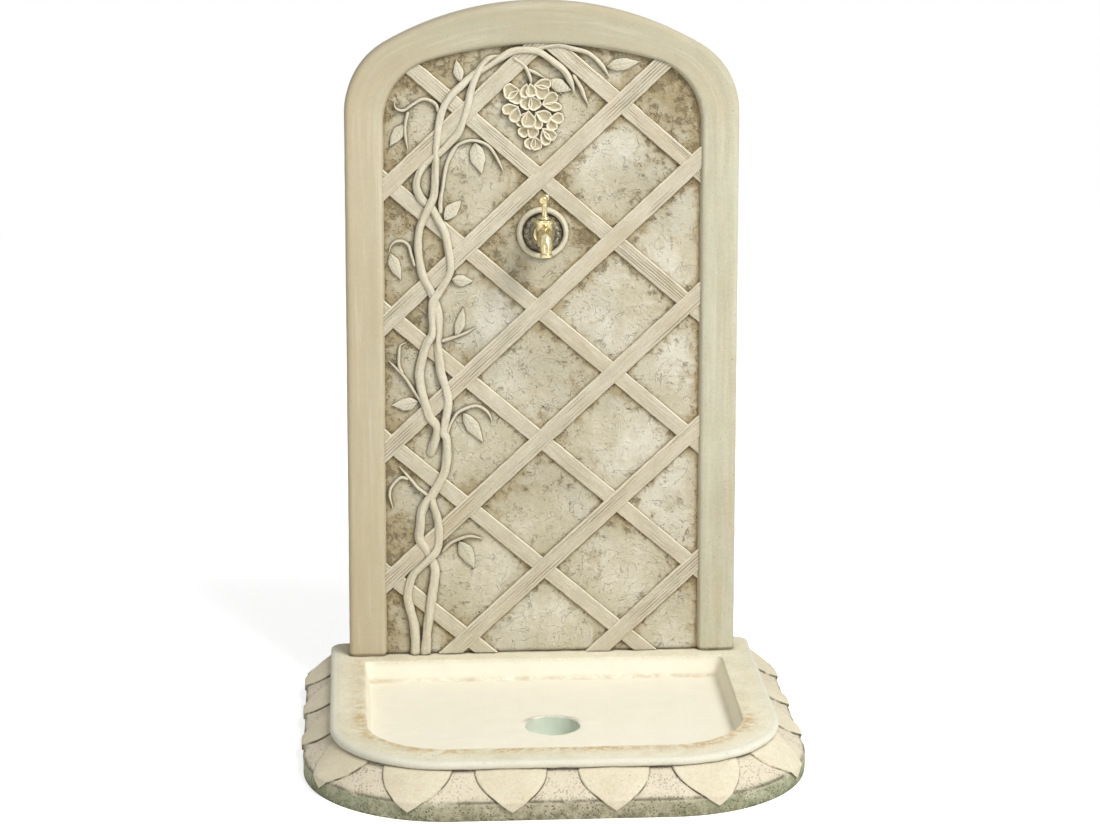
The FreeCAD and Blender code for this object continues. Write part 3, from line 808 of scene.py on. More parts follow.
class Workbench:
    """Collects meshes in millimetres and turns them into finished pieces."""

    def __init__(self, finishes: dict[str, bpy.types.Material]) -> None:
        """Keeps the finishes by name."""
        self.finishes = finishes

    def joined(self, parts: Sequence[bmesh.types.BMesh]) -> bmesh.types.BMesh:
        """Puts several closed shells into one mesh.

        Args:
            parts: the shells, which are used up.

        Returns:
            The one mesh.
        """
        whole = bmesh.new()
        for part in parts:
            carrier = bpy.data.meshes.new("carrier")
            part.to_mesh(carrier)
            part.free()
            whole.from_mesh(carrier)
            bpy.data.meshes.remove(carrier)
        return whole

    def piece(self, name: str, bm: bmesh.types.BMesh, finish: str, nodes: Sequence[str],
              body: Body = Body.ROOT, crease: float = 42.0) -> bpy.types.Object:
        """Makes one finished piece.

        Args:
            name: the piece's name.
            bm: its mesh in millimetres.
            finish: which finish it takes.
            nodes: the CAD nodes it replaces.
            body: what it rides on.
            crease: edges sharper than this many degrees stay sharp.

        Returns:
            The new object.
        """
        bmesh.ops.scale(bm, verts=bm.verts, vec=(MILLIMETRE,) * 3)
        mesh = bpy.data.meshes.new(name)
        bm.to_mesh(mesh)
        bm.free()
        mesh.polygons.foreach_set("use_smooth", [True] * len(mesh.polygons))
        mesh.set_sharp_from_angle(angle=math.radians(crease))
        mesh.materials.append(self.finishes[finish])
        made = placed(name, mesh)
        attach(made, body.value)
        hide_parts(*nodes)
        log.info("%s: %d faces", name, len(mesh.polygons))
        return made

    def carried(self, node: bpy.types.Object, finish: str) -> None:
        """Gives a CAD node that stays its finish.

        Args:
            node: the node's object.
            finish: the finish it takes.
        """
        if not node.material_slots:
            node.data.materials.append(self.finishes[finish])
        for place in node.material_slots:
            place.material = self.finishes[finish]


# Trough


@dataclass
class Trough:
    """The basin's plan and heights."""

    half_back: float = 326.0
    taper: float = 8.0
    corner: float = 186.0
    # Outside: the band's top, the slope's top and depth, and how far the rim hangs over the slope
    band: float = 23.0
    crease: float = 50.0
    run: float = 40.0
    overhang: float = 6.0
    # Nose: its middle above the slope's top, its curve below (in, down) and above (in)
    nose_middle: float = 6.2
    nose_below: tuple = (4.6, 6.0)
    nose_above: float = 7.6
    # Bowl: rim's width, ledge behind it, back corners, wall's lean, lip, floor and drain
    rim_width: float = 47.0
    ledge: float = 81.0
    bowl_corner: float = 12.0
    draft: float = 6.0
    lip: float = 2.2
    floor: float = 36.0
    drain: float = 34.5
    drain_y: float = -18.5
    # Points on half the back, a back corner, a side, a front corner and half the front
    counts: tuple = (30, 6, 52, 56, 28)

    # How much the points round the drain keep their true direction and their even spacing
    TRUE, EVEN = 0.55, 0.45

    def __post_init__(self) -> None:
        """Works out where the corner arcs start and where the rim and the bowl begin."""
        self.corner_x = self.half_back - self.taper - self.corner
        self.corner_y = FRONT_Y + self.corner
        self.edge = self.run - self.overhang
        self.inner = self.edge + self.rim_width
        self.bowl_back = WALL_Y - self.ledge

    def ring(self, inset: float, z: float, back: float = WALL_Y, back_corner: float = 6.0) -> Row:
        """Goes once round the plan.

        Args:
            inset: how far inside the base outline it lies.
            z: its height.
            back: where its back edge is.
            back_corner: the radius of its back corners.

        Returns:
            The ring's points, from the middle of the back towards the right.
        """
        backs, bends, sides, arcs, fronts = self.counts
        radius = self.corner - inset
        low_x = self.corner_x + radius
        high_x = low_x + self.taper * (back - self.corner_y) / (WALL_Y - self.corner_y)
        half = [((high_x - back_corner) * k / backs, back) for k in range(backs)]
        for turn in quarter(bends)[:-1]:
            half.append((high_x - back_corner * (1 - math.sin(turn)),
                         back - back_corner * (1 - math.cos(turn))))
        for share in (k / sides for k in range(sides)):
            half.append((high_x + (low_x - high_x) * share,
                         back - back_corner + (self.corner_y - back + back_corner) * share))
        for turn in quarter(arcs)[:-1]:
            half.append((self.corner_x + radius * math.cos(turn), self.corner_y - radius * math.sin(turn)))
        half += [(self.corner_x * (1 - k / fronts), self.corner_y - radius) for k in range(fronts + 1)]
        left = [(-x, y) for x, y in reversed(half[1:-1])]
        return [Vector((x, y, z)) for x, y in half + left]

    def hole(self, radius: float, z: float, guide: Row) -> Row:
        """Draws a circle round the drain whose points face those of another ring.

        Args:
            radius: its radius.
            z: its height.
            guide: the other ring.

        Returns:
            The circle's points.
        """
        centre = Vector((0, self.drain_y, z))
        circle = []
        for k, point in enumerate(guide):
            true = math.atan2(point.x, point.y - self.drain_y)
            even = math.tau * k / len(guide)
            even -= math.tau if k > len(guide) / 2 else 0.0
            true += math.tau if k == len(guide) // 2 and true < 0 else 0.0
            turn = true * self.TRUE + even * self.EVEN
            circle.append(centre + Vector((math.sin(turn), math.cos(turn), 0)) * radius)
        return circle

    def inset_at(self, x: float, y: float) -> float:
        """Says how far inside the base outline a place lies, seen from above.

        Args:
            x: distance to the right of the middle.
            y: distance to the back.

        Returns:
            The distance, below 0 outside.
        """
        far = abs(x)
        if y < self.corner_y and far > self.corner_x:
            return self.corner - math.hypot(far - self.corner_x, y - self.corner_y)
        if y < self.corner_y:
            return y - FRONT_Y
        side = self.half_back - self.taper * (WALL_Y - y) / (WALL_Y - self.corner_y)
        return side - far

    def marks(self, point: Vector) -> dict[str, float]:
        """Says how much of each kind of surface a point of the trough is, and where painted shade lines and a
        painted highlight go.

        Args:
            point: the point in millimetres.

        Returns:
            Shares from 0 to 1 by name.
        """
        x, y, z = point
        inset = self.inset_at(x, y)
        to_back = self.bowl_back - y
        inward = min(inset - self.inner, to_back)
        in_bowl = soft(inward, -1.0, 1.5)
        ahead = min(1.0, soft(-y, -80.0, 120.0) + 0.4 * soft(-x, 150.0, 230.0))
        reach = math.hypot(x, y - self.drain_y)
        outside = inset < self.inner - 20
        # Painted highlight on the rounded nose
        nose = hump(inset, self.edge + 3.0, 8.0) * soft(z, self.crease - 1, self.crease + 3)
        # Painted shade with dirt: dark lines under the nose, at the band's top and on the drain's back edge
        under_nose = hump(z, self.crease + 0.6, 1.4) * (inset < self.edge + 12)
        line = max(under_nose, hump(z, self.band, 1.2) * (inset < 6))
        drain_edge = hump(reach, self.drain + 1.4, 1.2) * soft(y - self.drain_y, 4.0, 26.0)
        drain_edge *= z > self.floor - 3
        return {
            "bowl": in_bowl,
            "ground": (1 - soft(z, self.crease - 0.5, self.crease + 5.0)) * outside,
            "lip": ahead * hump(inward, -8.0, 10.0) * (z > RIM_Z - 6),
            "drain": float(reach < self.drain + 0.3 and z < self.floor - 1),
            "nose": nose * (1 - in_bowl),
            "line": max(line * outside, 0.8 * drain_edge),
            "foot": hump(z, self.floor + 1.0, 2.0) * soft(-abs(to_back - 9.0), -7.0, -3.0) * in_bowl,
        }

    def mark(self, bm: bmesh.types.BMesh) -> None:
        """Notes the kinds of surface on every point.

        Args:
            bm: the trough's mesh.
        """
        layers = {name: bm.verts.layers.float.new(name) for name in self.marks(Vector())}
        for vertex in bm.verts:
            for name, share in self.marks(vertex.co).items():
                vertex[layers[name]] = share

    def contour(self, inset: float, along: float) -> tuple[Vector, Vector]:
        """Finds a point on the front and sides.

        Args:
            inset: how far inside the base outline it lies.
            along: distance from the middle of the front, to the right.

        Returns:
            The point and the outward direction there.
        """
        radius = self.corner - inset
        hand = 1.0 if along >= 0 else -1.0
        far = abs(along)
        bend = radius * math.pi / 2
        if far <= self.corner_x:
            point, out = Vector((far, self.corner_y - radius, 0)), Vector((0, -1, 0))
        elif far <= self.corner_x + bend:
            turn = (far - self.corner_x) / radius
            out = Vector((math.sin(turn), -math.cos(turn), 0))
            point = Vector((self.corner_x, self.corner_y, 0)) + out * radius
        else:
            past = far - self.corner_x - bend
            point = Vector((self.corner_x + radius + self.taper * past / (WALL_Y - self.corner_y),
                            self.corner_y + past, 0))
            out = Vector((1, 0, 0))
        return Vector((point.x * hand, point.y, 0)), Vector((out.x * hand, out.y, 0))

    def bowl(self, grow: float, z: float) -> Row:
        """The bowl's outline at a height, moved out by grow."""
        return self.ring(self.inner - grow, z, self.bowl_back + grow, self.bowl_corner + grow)

    def outside(self) -> list[Row]:
        """Goes up from the ground over the band, the slope and the rounded nose to the rim.

        Returns:
            The rings in order.
        """
        rows = [self.ring(1.0, 0.0), self.ring(0.2, 0.8)]
        rows += [self.ring(0.0, z) for z in (2.0, 6.0, 10.0, 14.0, 18.0, 21.0)]
        rows += [self.ring(0.4, 22.3), self.ring(1.6, 23.6)]
        slope = (self.crease - self.band) / self.run
        rows += [self.ring(inset, self.band + slope * inset) for inset in (*range(4, 40, 4), 39, 40)]
        middle = self.crease + self.nose_middle
        inwards, down = self.nose_below
        for turn in quarter(7)[1:]:
            rows.append(self.ring(self.edge + inwards * (1 - math.sin(turn)), middle - down * math.cos(turn)))
        up = RIM_Z - 0.5 - middle
        for turn in quarter(8)[1:]:
            rows.append(self.ring(self.edge + self.nose_above * (1 - math.cos(turn)),
                                  middle + up * math.sin(turn)))
        return rows + [self.ring(self.edge + inset, RIM_Z - drop)
                       for inset, drop in ((9.4, 0.6), (11.0, 0.2), (13.0, 0.0))]

    def inside(self, nose: Row) -> list[Row]:
        """Goes from the nose over the flat rim and down the bowl's wall.

        Args:
            nose: the ring where the nose meets the flat rim.

        Returns:
            The rings in order, down to the bowl's floor.
        """
        rows = spread(nose, self.bowl(self.lip, RIM_Z), 7)
        for turn in quarter(4)[1:]:
            rows.append(self.bowl(self.lip * (1 - math.sin(turn)), RIM_Z - self.lip * (1 - math.cos(turn))))
        depth = RIM_Z - self.lip - self.floor - 3
        for share in (k / 7 for k in range(1, 7)):
            rows.append(self.bowl(-self.draft * share, RIM_Z - self.lip - depth * share))
        for turn in quarter(5):
            rows.append(self.bowl(-self.draft - 4 * (1 - math.cos(turn)),
                                  self.floor + 3 * (1 - math.sin(turn))))
        return rows

    def bottom(self, wall: Row) -> list[Row]:
        """Goes over the bowl's floor and down the drain hole.

        Args:
            wall: the ring where the bowl's wall meets its floor.

        Returns:
            The rings in order, down to the underside.
        """
        rows = spread(wall, self.hole(self.drain + 2.0, self.floor, wall), 26)
        rows += [self.hole(self.drain + 0.6, self.floor - 0.5, wall),
                 self.hole(self.drain, self.floor - 2.0, wall)]
        return rows + [self.hole(self.drain, z, wall) for z in (30.0, 24.0, 16.0, 8.0, 0.0)]

    @staticmethod
    def kept(point: Vector) -> bool:
        """Whether a point is on the faces that stay flat, on the ground and against the wall."""
        return point.z < 0.5 or point.y > WALL_Y - 0.5

    def build(self, bench: Workbench) -> None:
        """Makes the trough.

        Args:
            bench: where its piece is made.
        """
        rows = self.outside()
        rows += self.inside(rows[-1])
        rows += self.bottom(rows[-1])
        rows += spread(rows[-1], rows[0], 2)
        bm = loft(rows)
        self.mark(bm)
        roughen(bm, depth=1.3, size=21.0, layers=5, keep=self.kept)
        bench.piece("trough_stone", bm, "trough", ["basin"], crease=58.0)


@dataclass
class LeafFrieze:
    """The ring of pointed leaf tongues under the rim."""

    trough: Trough
    width: float = 88.0
    thick: float = 2.5
    crown: float = 1.0
    tip_z: float = 10.0
    # Middle lines: x on the front, degrees round the corner, y on the side
    front: float = 62.0
    turns: tuple = (17.0, 60.0)
    sides: tuple = (-22.5, 94.0, 210.5)
    # How bluntly a tongue ends, how far it starts above the slope and how deep it is sunk
    blunt: float = 2.2
    overlap: float = 1.5
    sunk: float = 2.0
    steps: int = 48
    across: int = 26

    def stations(self) -> list[Station]:
        """Says where each leaf's middle line lies, for each radius of the trough's corner.

        Returns:
            A function for each leaf of the right half.
        """
        trough = self.trough
        found: list[Station] = [lambda radius: self.front]
        for turn in self.turns:
            found.append(lambda radius, turn=turn: trough.corner_x + radius * math.radians(turn))
        for y in self.sides:
            found.append(lambda radius, y=y: trough.corner_x + radius * math.pi / 2 + y - trough.corner_y)
        return found

    def leaf(self, middle: Station, hand: float) -> bmesh.types.BMesh:
        """Makes one tongue.

        Args:
            middle: where its middle line lies for each corner radius.
            hand: 1 on the right, -1 on the left.

        Returns:
            Its closed mesh.
        """
        trough = self.trough
        slope = math.hypot(trough.run, trough.crease - trough.band)
        lean = Vector(((trough.crease - trough.band) / slope, trough.run / slope))
        length = slope + trough.band - self.tip_z
        rows: list[Row] = []
        lines: list[list[float]] = []
        for j in range(self.steps + 1):
            s = -self.overlap + (length + self.overlap) * (j / self.steps)
            share = max(0.0, s) / length
            half = self.width / 2 * max(0.0, 1 - share ** self.blunt)
            inset = max(0.0, trough.run * (1 - s / slope))
            z = trough.crease - max(0.0, min(s, slope)) * lean.x - max(0.0, s - slope)
            upright = soft(s, slope - 5, slope + 3)
            out = lean.lerp(Vector((1, 0)), upright).normalized()
            row: Row = []
            line: list[float] = []
            for k, a in enumerate(crosswise(self.across)):
                gap = min((1 - abs(a)) * half, length - s)
                crown = self.crown * (1 - a * a) * (1 - 0.6 * upright)
                lift = self.thick * soft(gap, -1.6, 1.8) + crown - 0.5
                if k > self.across:
                    lift = -self.sunk
                point, outward = trough.contour(inset, hand * (middle(trough.corner - inset) + a * half))
                row.append(point + outward * (lift * out.x) + Vector((0, 0, z + lift * out.y)))
                # Painted shade with dirt: a dark line along the tongue's edge
                line.append(1 - soft(gap, 0.5, 1.9))
            rows.append(row)
            lines.append(line)
        return loft(rows, {"line": lines})

    def build(self, bench: Workbench) -> None:
        """Makes all the tongues.

        Args:
            bench: where their piece is made.
        """
        leaves = [self.leaf(middle, hand) for middle in self.stations() for hand in (1.0, -1.0)]
        bm = bench.joined(leaves)
        roughen(bm, depth=0.5, size=14.0)
        bench.piece("frieze_leaf_ring", bm, "frieze", ["frieze_leaves"], crease=58.0)


# Panel


@dataclass
class Arch:
    """A basket arch: tapering sides, two corner arcs and a flat top arc."""

    base_half: float
    spring_half: float
    corner: float
    top: float
    height: float

    def __post_init__(self) -> None:
        """Works out the arcs' centres."""
        self.corner_x = self.spring_half - self.corner
        self.top_z = self.height - self.top
        reach = self.top - self.corner
        self.spring = self.top_z + math.sqrt(reach * reach - self.corner_x * self.corner_x)
        self.turn = math.atan2(self.spring - self.top_z, self.corner_x)
        self.meet = self.corner_x + self.corner * math.cos(self.turn)

    def grown(self, by: float) -> "Arch":
        """The same arch moved outwards."""
        sizes = (self.base_half, self.spring_half, self.corner, self.top, self.height)
        return Arch(*(size + by for size in sizes))

    def half_at(self, h: float) -> float:
        """Half the width at a height below the spring."""
        return self.base_half + (self.spring_half - self.base_half) * min(1.0, h / self.spring)

    def top_at(self, x: float) -> float:
        """Finds the height of the arch over a place.

        Args:
            x: distance to the right of the middle.

        Returns:
            The height above the rim.
        """
        far = min(abs(x), self.spring_half)
        if far <= self.meet:
            return self.top_z + math.sqrt(self.top * self.top - far * far)
        return self.spring + math.sqrt(max(0.0, self.corner * self.corner - (far - self.corner_x) ** 2))

    def holds(self, x: float, h: float) -> bool:
        """Whether a point lies inside the arch and above the rim."""
        return h >= 0.4 and abs(x) <= self.half_at(h) and h <= self.top_at(x)

    def line(self, heights: Sequence[float], bends: int, crown: int) -> list[tuple[float, float]]:
        """Goes along the arch from the lower left to the lower right.

        Args:
            heights: shares of the straight side, from 0 to below 1.
            bends: steps on a corner arc.
            crown: steps on half the top arc.

        Returns:
            The points as (x, height above the rim).
        """
        half = [(self.half_at(share * self.spring), share * self.spring) for share in heights]
        half += [on_circle(self.corner_x, self.spring, self.corner, self.turn * k / bends)
                 for k in range(bends)]
        for k in range(crown + 1):
            turn = self.turn + (math.pi / 2 - self.turn) * k / crown
            half.append(on_circle(0.0, self.top_z, self.top, turn))
        return [(-x, h) for x, h in half] + list(reversed(half[:-1]))


OUTLINE = Arch(265.0, 260.0, 105.0, 420.0, 883.0)
FIELD = Arch(213.0, 208.0, 85.0, 560.0, 826.0)

# Spots of dirt and painted shade on the field, among them the darker upper right and the column along the
# left edge: x, height above the rim, size, strength; below 0 it is cleaner and lighter there
GRIME_AND_SHADE = (
    (0, 575, 75, 0.6), (-75, 560, 25, 0.8), (190, 765, 55, 0.9), (-60, 530, 25, 0.8),
    (-20, 520, 25, 0.35), (60, 560, 25, 0.7), (75, 580, 25, 0.6), (20, 640, 30, 0.7),
    (-35, 620, 30, 0.7), (-115, 640, 28, 0.8), (-140, 545, 20, 0.9), (-165, 530, 20, 0.9),
    (-195, 600, 25, 0.6), (-165, 475, 25, 1.0), (-120, 590, 25, 0.6), (-150, 780, 35, 0.9),
    (-110, 800, 25, 1.0), (-30, 800, 25, 0.7), (60, 745, 25, 0.5), (110, 660, 40, 0.6),
    (150, 625, 30, 0.5), (175, 740, 30, 0.7), (-95, 415, 20, 0.5), (0, 400, 50, 0.5),
    (-95, 240, 25, 0.7), (-40, 225, 30, 0.8), (20, 240, 25, 0.6), (180, 215, 20, 0.7),
    (60, 270, 20, 0.4), (110, 170, 25, 0.6), (-180, 170, 25, 1.0), (-190, 20, 25, 0.8),
    (-120, 30, 25, 0.9), (-130, 80, 30, 0.5), (100, 690, 40, -0.8), (-60, 480, 35, -0.7),
    (10, 30, 50, -0.7), (190, 520, 35, -0.7), (190, 250, 30, -0.7), (150, 730, 75, 0.45),
    *((-205, 75 * k, 45, 0.5) for k in range(1, 11)),
)


@dataclass
class Panel:
    """The arched slab with its raised frame."""

    width: float = 52.0
    depth_middle: float = 228.0
    foot_draw: float = 0.062
    margin: float = 6.0
    tuck: float = 2.0
    columns: int = 120
    lines: int = 236
    hollow_back: float = 0.4

    # Holes in the back: x, z, radius, depth
    holes: tuple = ((-150.0, 703.0, 8.02, 36.0), (150.0, 703.0, 8.02, 36.0), (0.0, 643.0, 14.02, 45.0))

    # The frame's section from its outer edge to its inner one: inset, y
    section: tuple = (
        (0.0, 255.5), (0.0, 240.0), (0.0, 222.0), (0.0, 208.0), (0.15, 203.5), (0.9, 200.9), (2.2, 198.9),
        (4.0, 197.5), (6.0, 196.8), (8.5, 196.5), (13.0, 196.5), (19.0, 196.5), (25.0, 196.5),
        (31.0, 196.5), (37.0, 196.5), (42.0, 196.5), (45.5, 196.7), (47.6, 197.3), (49.2, 198.6),
        (50.2, 200.6), (50.9, 203.2), (51.6, 205.4), (53.2, 208.5), (54.0, 216.0), (54.0, 255.5))

    def frame(self) -> bmesh.types.BMesh:
        """Makes the raised frame along the arch, through the slab's whole depth.

        Returns:
            Its closed mesh.
        """
        side = [0.0, 0.0008, 0.002, 0.0045] + [k / 150 for k in range(1, 150)]
        outer = OUTLINE.line(side, 34, 62)
        inner = FIELD.line(side, 34, 62)
        middle = self.width / 2
        rows: list[Row] = []
        along: list[list[float]] = []
        across: list[list[float]] = []
        travelled = 0.0
        before = Vector(outer[0])
        for (ox, oh), (ix, ih) in zip(outer, inner):
            travelled += (Vector((ox, oh)) - before).length
            before = Vector((ox, oh))
            along.append([travelled] * len(self.section))
            across.append([inset + 0.5 * (y - FRAME_Y) for inset, y in self.section])
            pull = 1 - self.foot_draw * (1 - soft(oh, 0.0, 3.2))
            row: Row = []
            for inset, depth in self.section:
                share = (middle + (inset - middle) * pull) / self.width
                y = self.depth_middle + (depth - self.depth_middle) * pull
                row.append(Vector((ox + (ix - ox) * share, y, RIM_Z + oh + (ih - oh) * share)))
            rows.append(row)
        for row in (rows[0], rows[-1]):
            for point in row:
                point.z = RIM_Z
        return loft(rows, {"along": along, "across": across})

    def shut_in(self, x: float, h: float) -> float:
        """How much the laths and the frame close in on a place of the field, which sets painted shade with
        dirt in the field's colour.

        Args:
            x: distance to the right of the middle.
            h: height above the rim.

        Returns:
            0 in the open, about 1 along an edge and more in a corner.
        """
        total = 0.9 * math.exp(-max(0.0, FIELD.half_at(h) - abs(x)) / 11.0)
        total += 1.1 * math.exp(-max(0.0, FIELD.top_at(x) - h) / 16.0)
        for trellis in TRELLIS:
            turn = math.radians(trellis.angle) * trellis.way.value
            for height in trellis.heights:
                above = (h - height) * math.cos(turn) - x * math.sin(turn)
                gap = max(0.0, abs(above) - trellis.width / 2)
                # a lath counts more below it, where its painted shade falls, than above it
                total += (0.55 if above > 0 else 0.95) * math.exp(-gap / 10.0)
        return total

    def grime_and_shade(self, x: float, h: float) -> float:
        """How much dirt and painted shade darken a place of the field; below 0 it is cleaner and lighter than
        the rest.
        """
        return sum(share * math.exp(-((x - mx) ** 2 + (h - mh) ** 2) / size ** 2)
                   for mx, mh, size, share in GRIME_AND_SHADE)

    def rust(self, x: float, h: float) -> float:
        """How close a place of the field is to the frame's right inner edge."""
        return math.exp(-max(0.0, FIELD.half_at(h) - x) / 4.0)

    def front(self, edge: Arch, column: int, line: int) -> Vector:
        """Places one point of the field's trowelled front.

        Args:
            edge: the slab's outline.
            column: which of the columns it is in.
            line: which of the lines it is on.

        Returns:
            The point in millimetres.
        """
        u = -1 + 2 * column / self.columns
        h = line / self.lines * edge.top_at(u * edge.spring_half)
        x = u * edge.half_at(h)
        bed = noise.fractal(Vector((x, h, 0)) / 22, 0.8, 2.1, 4)
        grit = noise.fractal(Vector((x, h, 40)) / 6.5, 0.9, 2.0, 2)
        y = FIELD_Y + 0.15 - 0.75 * bed - 0.35 * grit
        y = min(FIELD_Y + 1.4, max(FIELD_Y - 1.2, y)) + 1.6 * (1 - soft(h, 0, 3))
        return Vector((x, y, RIM_Z + h))

    def drilled(self, bm: bmesh.types.BMesh, outline: Sequence[bmesh.types.BMEdge], back: float) -> None:
        """Closes the slab's back and sinks the holes for the sockets and the tube.

        Args:
            bm: the slab.
            outline: the edges round its open back.
            back: how far back that is.
        """
        circles = []
        for x, z, radius, depth in self.holes:
            spot = Matrix.Translation(Vector((x, back, z))) @ Matrix.Rotation(math.pi / 2, 4, "X")
            made = bmesh.ops.create_circle(bm, cap_ends=False, radius=radius, segments=48, matrix=spot)
            circles.append((list(dict.fromkeys(e for v in made["verts"] for e in v.link_edges)), depth))
        loops = [*outline, *(e for ring, _ in circles for e in ring)]
        bmesh.ops.triangle_fill(bm, use_beauty=True, use_dissolve=False, edges=loops)
        for ring, depth in circles:
            deeper = bmesh.ops.extrude_edge_only(bm, edges=ring)["geom"]
            verts = [item for item in deeper if isinstance(item, bmesh.types.BMVert)]
            bmesh.ops.translate(bm, verts=verts, vec=(0, -depth, 0))

    def slab(self) -> bmesh.types.BMesh:
        """Makes the field's slab with its rough front and the holes in its back.

        Returns:
            Its closed mesh.
        """
        edge = FIELD.grown(self.margin)
        bm = bmesh.new()
        bmesh.ops.create_grid(bm, x_segments=self.columns, y_segments=self.lines, size=0.5)
        layers = [bm.verts.layers.float.new(name) for name in ("shut_in", "grime_and_shade", "rust")]
        for vertex in bm.verts:
            vertex.co = self.front(edge, round((vertex.co.x + 0.5) * self.columns),
                                   round((vertex.co.y + 0.5) * self.lines))
            x, h = vertex.co.x, vertex.co.z - RIM_Z
            for layer, share in zip(layers, (self.shut_in(x, h), self.grime_and_shade(x, h), self.rust(x, h))):
                vertex[layer] = share
        rim = [e for e in bm.edges if e.is_boundary]
        pushed = bmesh.ops.extrude_edge_only(bm, edges=rim)["geom"]
        back = WALL_Y - self.hollow_back
        rear = FIELD.grown(-self.tuck)
        for item in pushed:
            if isinstance(item, bmesh.types.BMVert):
                h = item.co.z - RIM_Z
                u = item.co.x / edge.half_at(h)
                h *= rear.top_at(u * rear.spring_half) / edge.top_at(u * edge.spring_half)
                item.co = Vector((u * rear.half_at(h), back, RIM_Z + h))
                for layer in layers:
                    item[layer] = 0.0
        outline = [item for item in pushed if isinstance(item, bmesh.types.BMEdge) and item.is_boundary]
        self.drilled(bm, outline, back)
        close(bm)
        return bm

    @staticmethod
    def kept(point: Vector) -> bool:
        """Whether a point is on the faces that stay flat, against the wall and on the rim."""
        return point.y > WALL_Y - 0.5 or point.z < RIM_Z + 0.3

    def build(self, bench: Workbench) -> None:
        """Makes the frame and the field as one casting.

        Args:
            bench: where its pieces are made.
        """
        frame = self.frame()
        roughen(frame, depth=0.55, size=30.0, layers=4, keep=self.kept)
        bench.piece("panel_frame", frame, "frame", ["back_panel"], crease=50.0)
        bench.piece("panel_field", self.slab(), "field", ["back_panel"], crease=50.0)


class Way(Enum):
    """The two ways the laths run."""

    RISING = 1
    FALLING = -1


@dataclass
class Lattice:
    """The trellis laths that run one way, cast in the field."""

    way: Way
    heights: tuple
    angle: float
    width: float
    rise: float
    seed: float
    # Grooves across the lath as (place, depth), and how much is left of them below a height
    grooves: tuple
    plain_below: float = -200.0
    fade: float = 0.35
    # How far a lath reaches under the frame, and its facets along and across
    tuck: float = 8.0
    step: float = 3.8
    across: int = 44

    def span(self, start: Vector, along: Vector) -> Optional[tuple[float, float]]:
        """How far a straight line stays inside the frame.

        Args:
            start: a point of the line, as (x, height).
            along: its direction.

        Returns:
            The first and last distance, or nothing.
        """
        edge = FIELD.grown(self.tuck)
        inside = [t for t in range(-1300, 1301, 4) if edge.holds(*(start + along * t))]
        if len(inside) < 3:
            return None
        ends = []
        for good, bad in ((inside[0], inside[0] - 4), (inside[-1], inside[-1] + 4)):
            for _ in range(7):
                middle = (good + bad) / 2
                good, bad = (middle, bad) if edge.holds(*(start + along * middle)) else (good, middle)
            ends.append(good)
        return ends[0], ends[1]

    def lift_at(self, a: float, t: float, height: float) -> float:
        """Says how far a lath's grained face stands out from the field.

        Args:
            a: place across the lath, from -1 to 1.
            t: place along it in millimetres.
            height: the height of its middle line.

        Returns:
            The lift in millimetres.
        """
        shoulder = 1 - 0.42 * soft(abs(a), 0.93, 1.0) - 0.05 * soft(abs(a), 0.45, 0.9)
        lift = self.rise * shoulder + 0.30 * waver((t, a * 9 + height, self.seed), 13)
        for k, (centre, depth) in enumerate(self.grooves):
            drift = centre + 0.07 * waver((t, k * 31 + height, 5), 55)
            deep = 1.15 * depth * soft(waver((t, k * 17 + height, 9), 80), -0.35, 0.40)
            lift -= deep * hump(a, drift, 0.045) * (self.fade if height < self.plain_below else 1.0)
        return lift - 0.14 * (1 + math.sin(a * 42 + 5 * waver((t, height * 3.1, self.seed), 60)))

    def lath(self, height: float) -> Optional[bmesh.types.BMesh]:
        """Makes one lath.

        Args:
            height: the height of its middle line in the middle of the panel.

        Returns:
            Its closed mesh, or nothing where it misses the field.
        """
        turn = math.radians(self.angle) * self.way.value
        along = Vector((math.cos(turn), math.sin(turn)))
        side = Vector((-along.y, along.x))
        half = self.width / 2
        shares = [-1 + 2 * k / self.across for k in range(self.across + 1)]
        spans = [self.span(Vector((0, height)) + side * (a * half), along) for a in shares]
        if None in spans:
            return None
        steps = max(4, round(max(stop - start for start, stop in spans) / self.step))
        rows: list[Row] = []
        travelled: list[list[float]] = []
        for j in range(steps + 1):
            places = [start + (stop - start) * j / steps for start, stop in spans]
            travelled.append(places + [places[-1], places[0]])
            row: Row = []
            for a, t in zip(shares, places):
                wide = a * half + 0.55 * a * waver((t, height, 21 + a), 9)
                spot = Vector((0, height)) + along * t + side * wide
                row.append(on_field(spot, self.lift_at(a, t, height)))
            for k in (-1, 0):
                spot = Vector((0, height)) + along * places[k] + side * (shares[k] * half)
                row.append(on_field(spot, -SUNK))
            rows.append(row)
        lines = steps + 1
        # Painted highlight, stronger on the upper edge, and painted shade on the flanks sunk into the field
        brightened = [0.8 * soft(a, 0.80, 0.95) + 0.3 * soft(-a, 0.84, 0.96) for a in shares] + [0.0, 0.0]
        return loft(rows, {
            "along": travelled,
            "across": [[a * half for a in shares] + [half + 2, -half - 2]] * lines,
            "board": [[height * 0.7] * len(brightened)] * lines,
            "brightened": [brightened] * lines,
            "hollow_shade": [[0.0] * len(shares) + [1.0, 1.0]] * lines,
        })

    def build(self, bench: Workbench) -> None:
        """Makes all the laths that run one way.

        Args:
            bench: where their piece is made.
        """
        made = [lath for lath in (self.lath(height) for height in self.heights) if lath is not None]
        way = self.way.name.lower()
        bench.piece(f"{way}_trellis", bench.joined(made), "lath", [f"{way}_laths"], crease=55.0)


